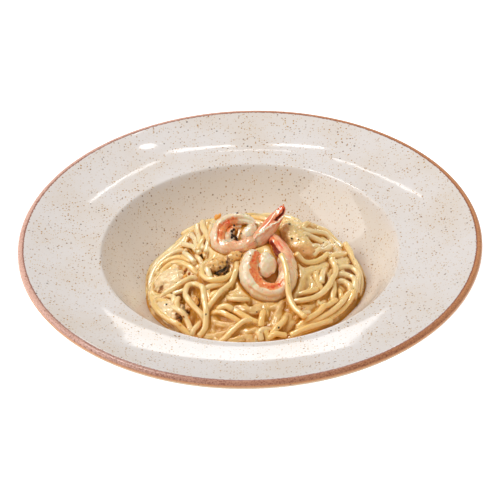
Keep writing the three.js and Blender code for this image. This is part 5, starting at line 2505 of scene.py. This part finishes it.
@dataclass
class Studio:
    """Camera, white floor, soft light."""

    elevation: float = 36.5
    roll: float = -1.52
    distance: float = 1.0
    lens: float = 123.53
    sensor: float = 36.0
    rise: float = 0.05  # height of the point that the camera looks at
    drop: float = -0.0107  # step of the camera along its own up
    floor_size: float = 6.0
    floor_white: float = 0.93
    floor_glow: float = 0.5
    room_light: float = 0.27
    panels: tuple[Panel, ...] = (
        Panel("key", 54.0, 62.0, 1.6, (0.6, 0.5), 11.6, (1.0, 0.99, 0.97)),
        Panel("left_window", 94.0, 34.0, 1.9, (2.0, 1.0), 13.0, (1.0, 0.995, 0.98)),
        Panel("right_fill", -106.0, 40.0, 2.0, (2.2, 1.6), 12.0, mirrored=False),
        Panel("left_fill", 112.0, 42.0, 2.0, (1.8, 1.4), 3.0, mirrored=False),
        Panel("back_panel", -0.4, 21.0, 1.9, (0.125, 0.4), 0.5, (0.97, 0.99, 1.0)),
        Panel("left_bar", -4.6, 55.2, 1.8, (0.12, 0.03), 0.12),
        Panel("right_bar", 5.0, 55.2, 1.8, (0.1, 0.03), 0.11),
        Panel("low_bar", 0.6, 52.4, 1.8, (0.09, 0.012), 0.03),
        Panel("left_frame", -8.3, 48.3, 1.8, (0.02, 0.26), 0.13, turn=-9.0),
        Panel("right_frame", 8.8, 47.2, 1.8, (0.02, 0.28), 0.12, turn=28.0),
        Panel("lamp", -13.4, 57.5, 1.8, (0.04, 0.03), 0.08),
    )

    def hang_lights(self) -> None:
        """Hang every panel and give the room its even white light."""
        for panel in self.panels:
            panel.hang()
        world = bpy.data.worlds.new("white_room")
        world.use_nodes = True
        ground = world.node_tree.nodes["Background"]
        ground.inputs["Color"].default_value = (1.0, 1.0, 1.0, 1.0)
        ground.inputs["Strength"].default_value = self.room_light
        bpy.context.scene.world = world
        bpy.context.scene.view_settings.view_transform = "Standard"

    def lay_floor(self) -> Piece:
        """Lay the white floor just under the foot ring.

        Returns:
            The floor.
        """
        half = self.floor_size / 2.0
        mesh = bpy.data.meshes.new("floor")
        corners = [(-half, -half, 0.0), (half, -half, 0.0), (half, half, 0.0), (-half, half, 0.0)]
        mesh.from_pydata(corners, [], [(0, 1, 2, 3)])
        white = {"Base Color": (self.floor_white,) * 3, "Roughness": 0.9}
        glow = {"Emission Color": (1.0, 1.0, 1.0), "Emission Strength": self.floor_glow}
        mesh.materials.append(Graph("white_floor").surface({}, {**white, **glow}))
        floor = bpy.data.objects.new("floor", mesh)
        bpy.context.scene.collection.objects.link(floor)
        return floor

    def place_camera(self) -> Piece:
        """Place the camera: it looks down at the dish from the front, rolled a little.

        Returns:
            The camera.
        """
        tilt, roll = math.radians(self.elevation), math.radians(self.roll)
        back = Vector((0.0, -math.cos(tilt), math.sin(tilt)))
        right = Vector((1.0, 0.0, 0.0))
        up = back.cross(right)
        across = right * math.cos(roll) + up * math.sin(roll)
        upright = up * math.cos(roll) - right * math.sin(roll)
        eye = back * self.distance + up * self.drop + Vector((0.0, 0.0, self.rise))
        camera = bpy.data.cameras.new("camera")
        camera.sensor_width = self.sensor
        camera.lens = self.lens
        camera.clip_start, camera.clip_end = 0.05, 20.0
        holder = bpy.data.objects.new("camera", camera)
        turned = Matrix((across, upright, back)).transposed()
        holder.matrix_world = Matrix.Translation(eye) @ turned.to_4x4()
        bpy.context.scene.collection.objects.link(holder)
        bpy.context.scene.camera = holder
        return holder


def main() -> None:
    """Build the dish piece by piece and set it in the studio."""
    logging.basicConfig(level=logging.INFO, format="%(message)s")
    studio = Studio()
    studio.place_camera()
    studio.hang_lights()
    studio.lay_floor()
    plate = Plate()
    plate.build()
    form = HeapForm(plate)
    spaghetti = Spaghetti(form, toppings=(LEFT_SHRIMP, FRONT_SHRIMP, COATED_SHRIMP, *MUSSELS))
    spaghetti.arrange()
    spaghetti.build(3)
    CreamCoat(spaghetti).build()
    shrimp_flesh, mussel_meat = ShrimpFinish().material(), MusselFinish().material()
    LEFT_SHRIMP.build(shrimp_flesh)
    FRONT_SHRIMP.build(shrimp_flesh)
    COATED_SHRIMP.build(CoatedFinish().material())
    for mussel in MUSSELS:
        mussel.build(mussel_meat)
    for flecks in (PEPPER, BROWNED, ORANGE):
        flecks.build(spaghetti)


if __name__ == "__main__":
    main()
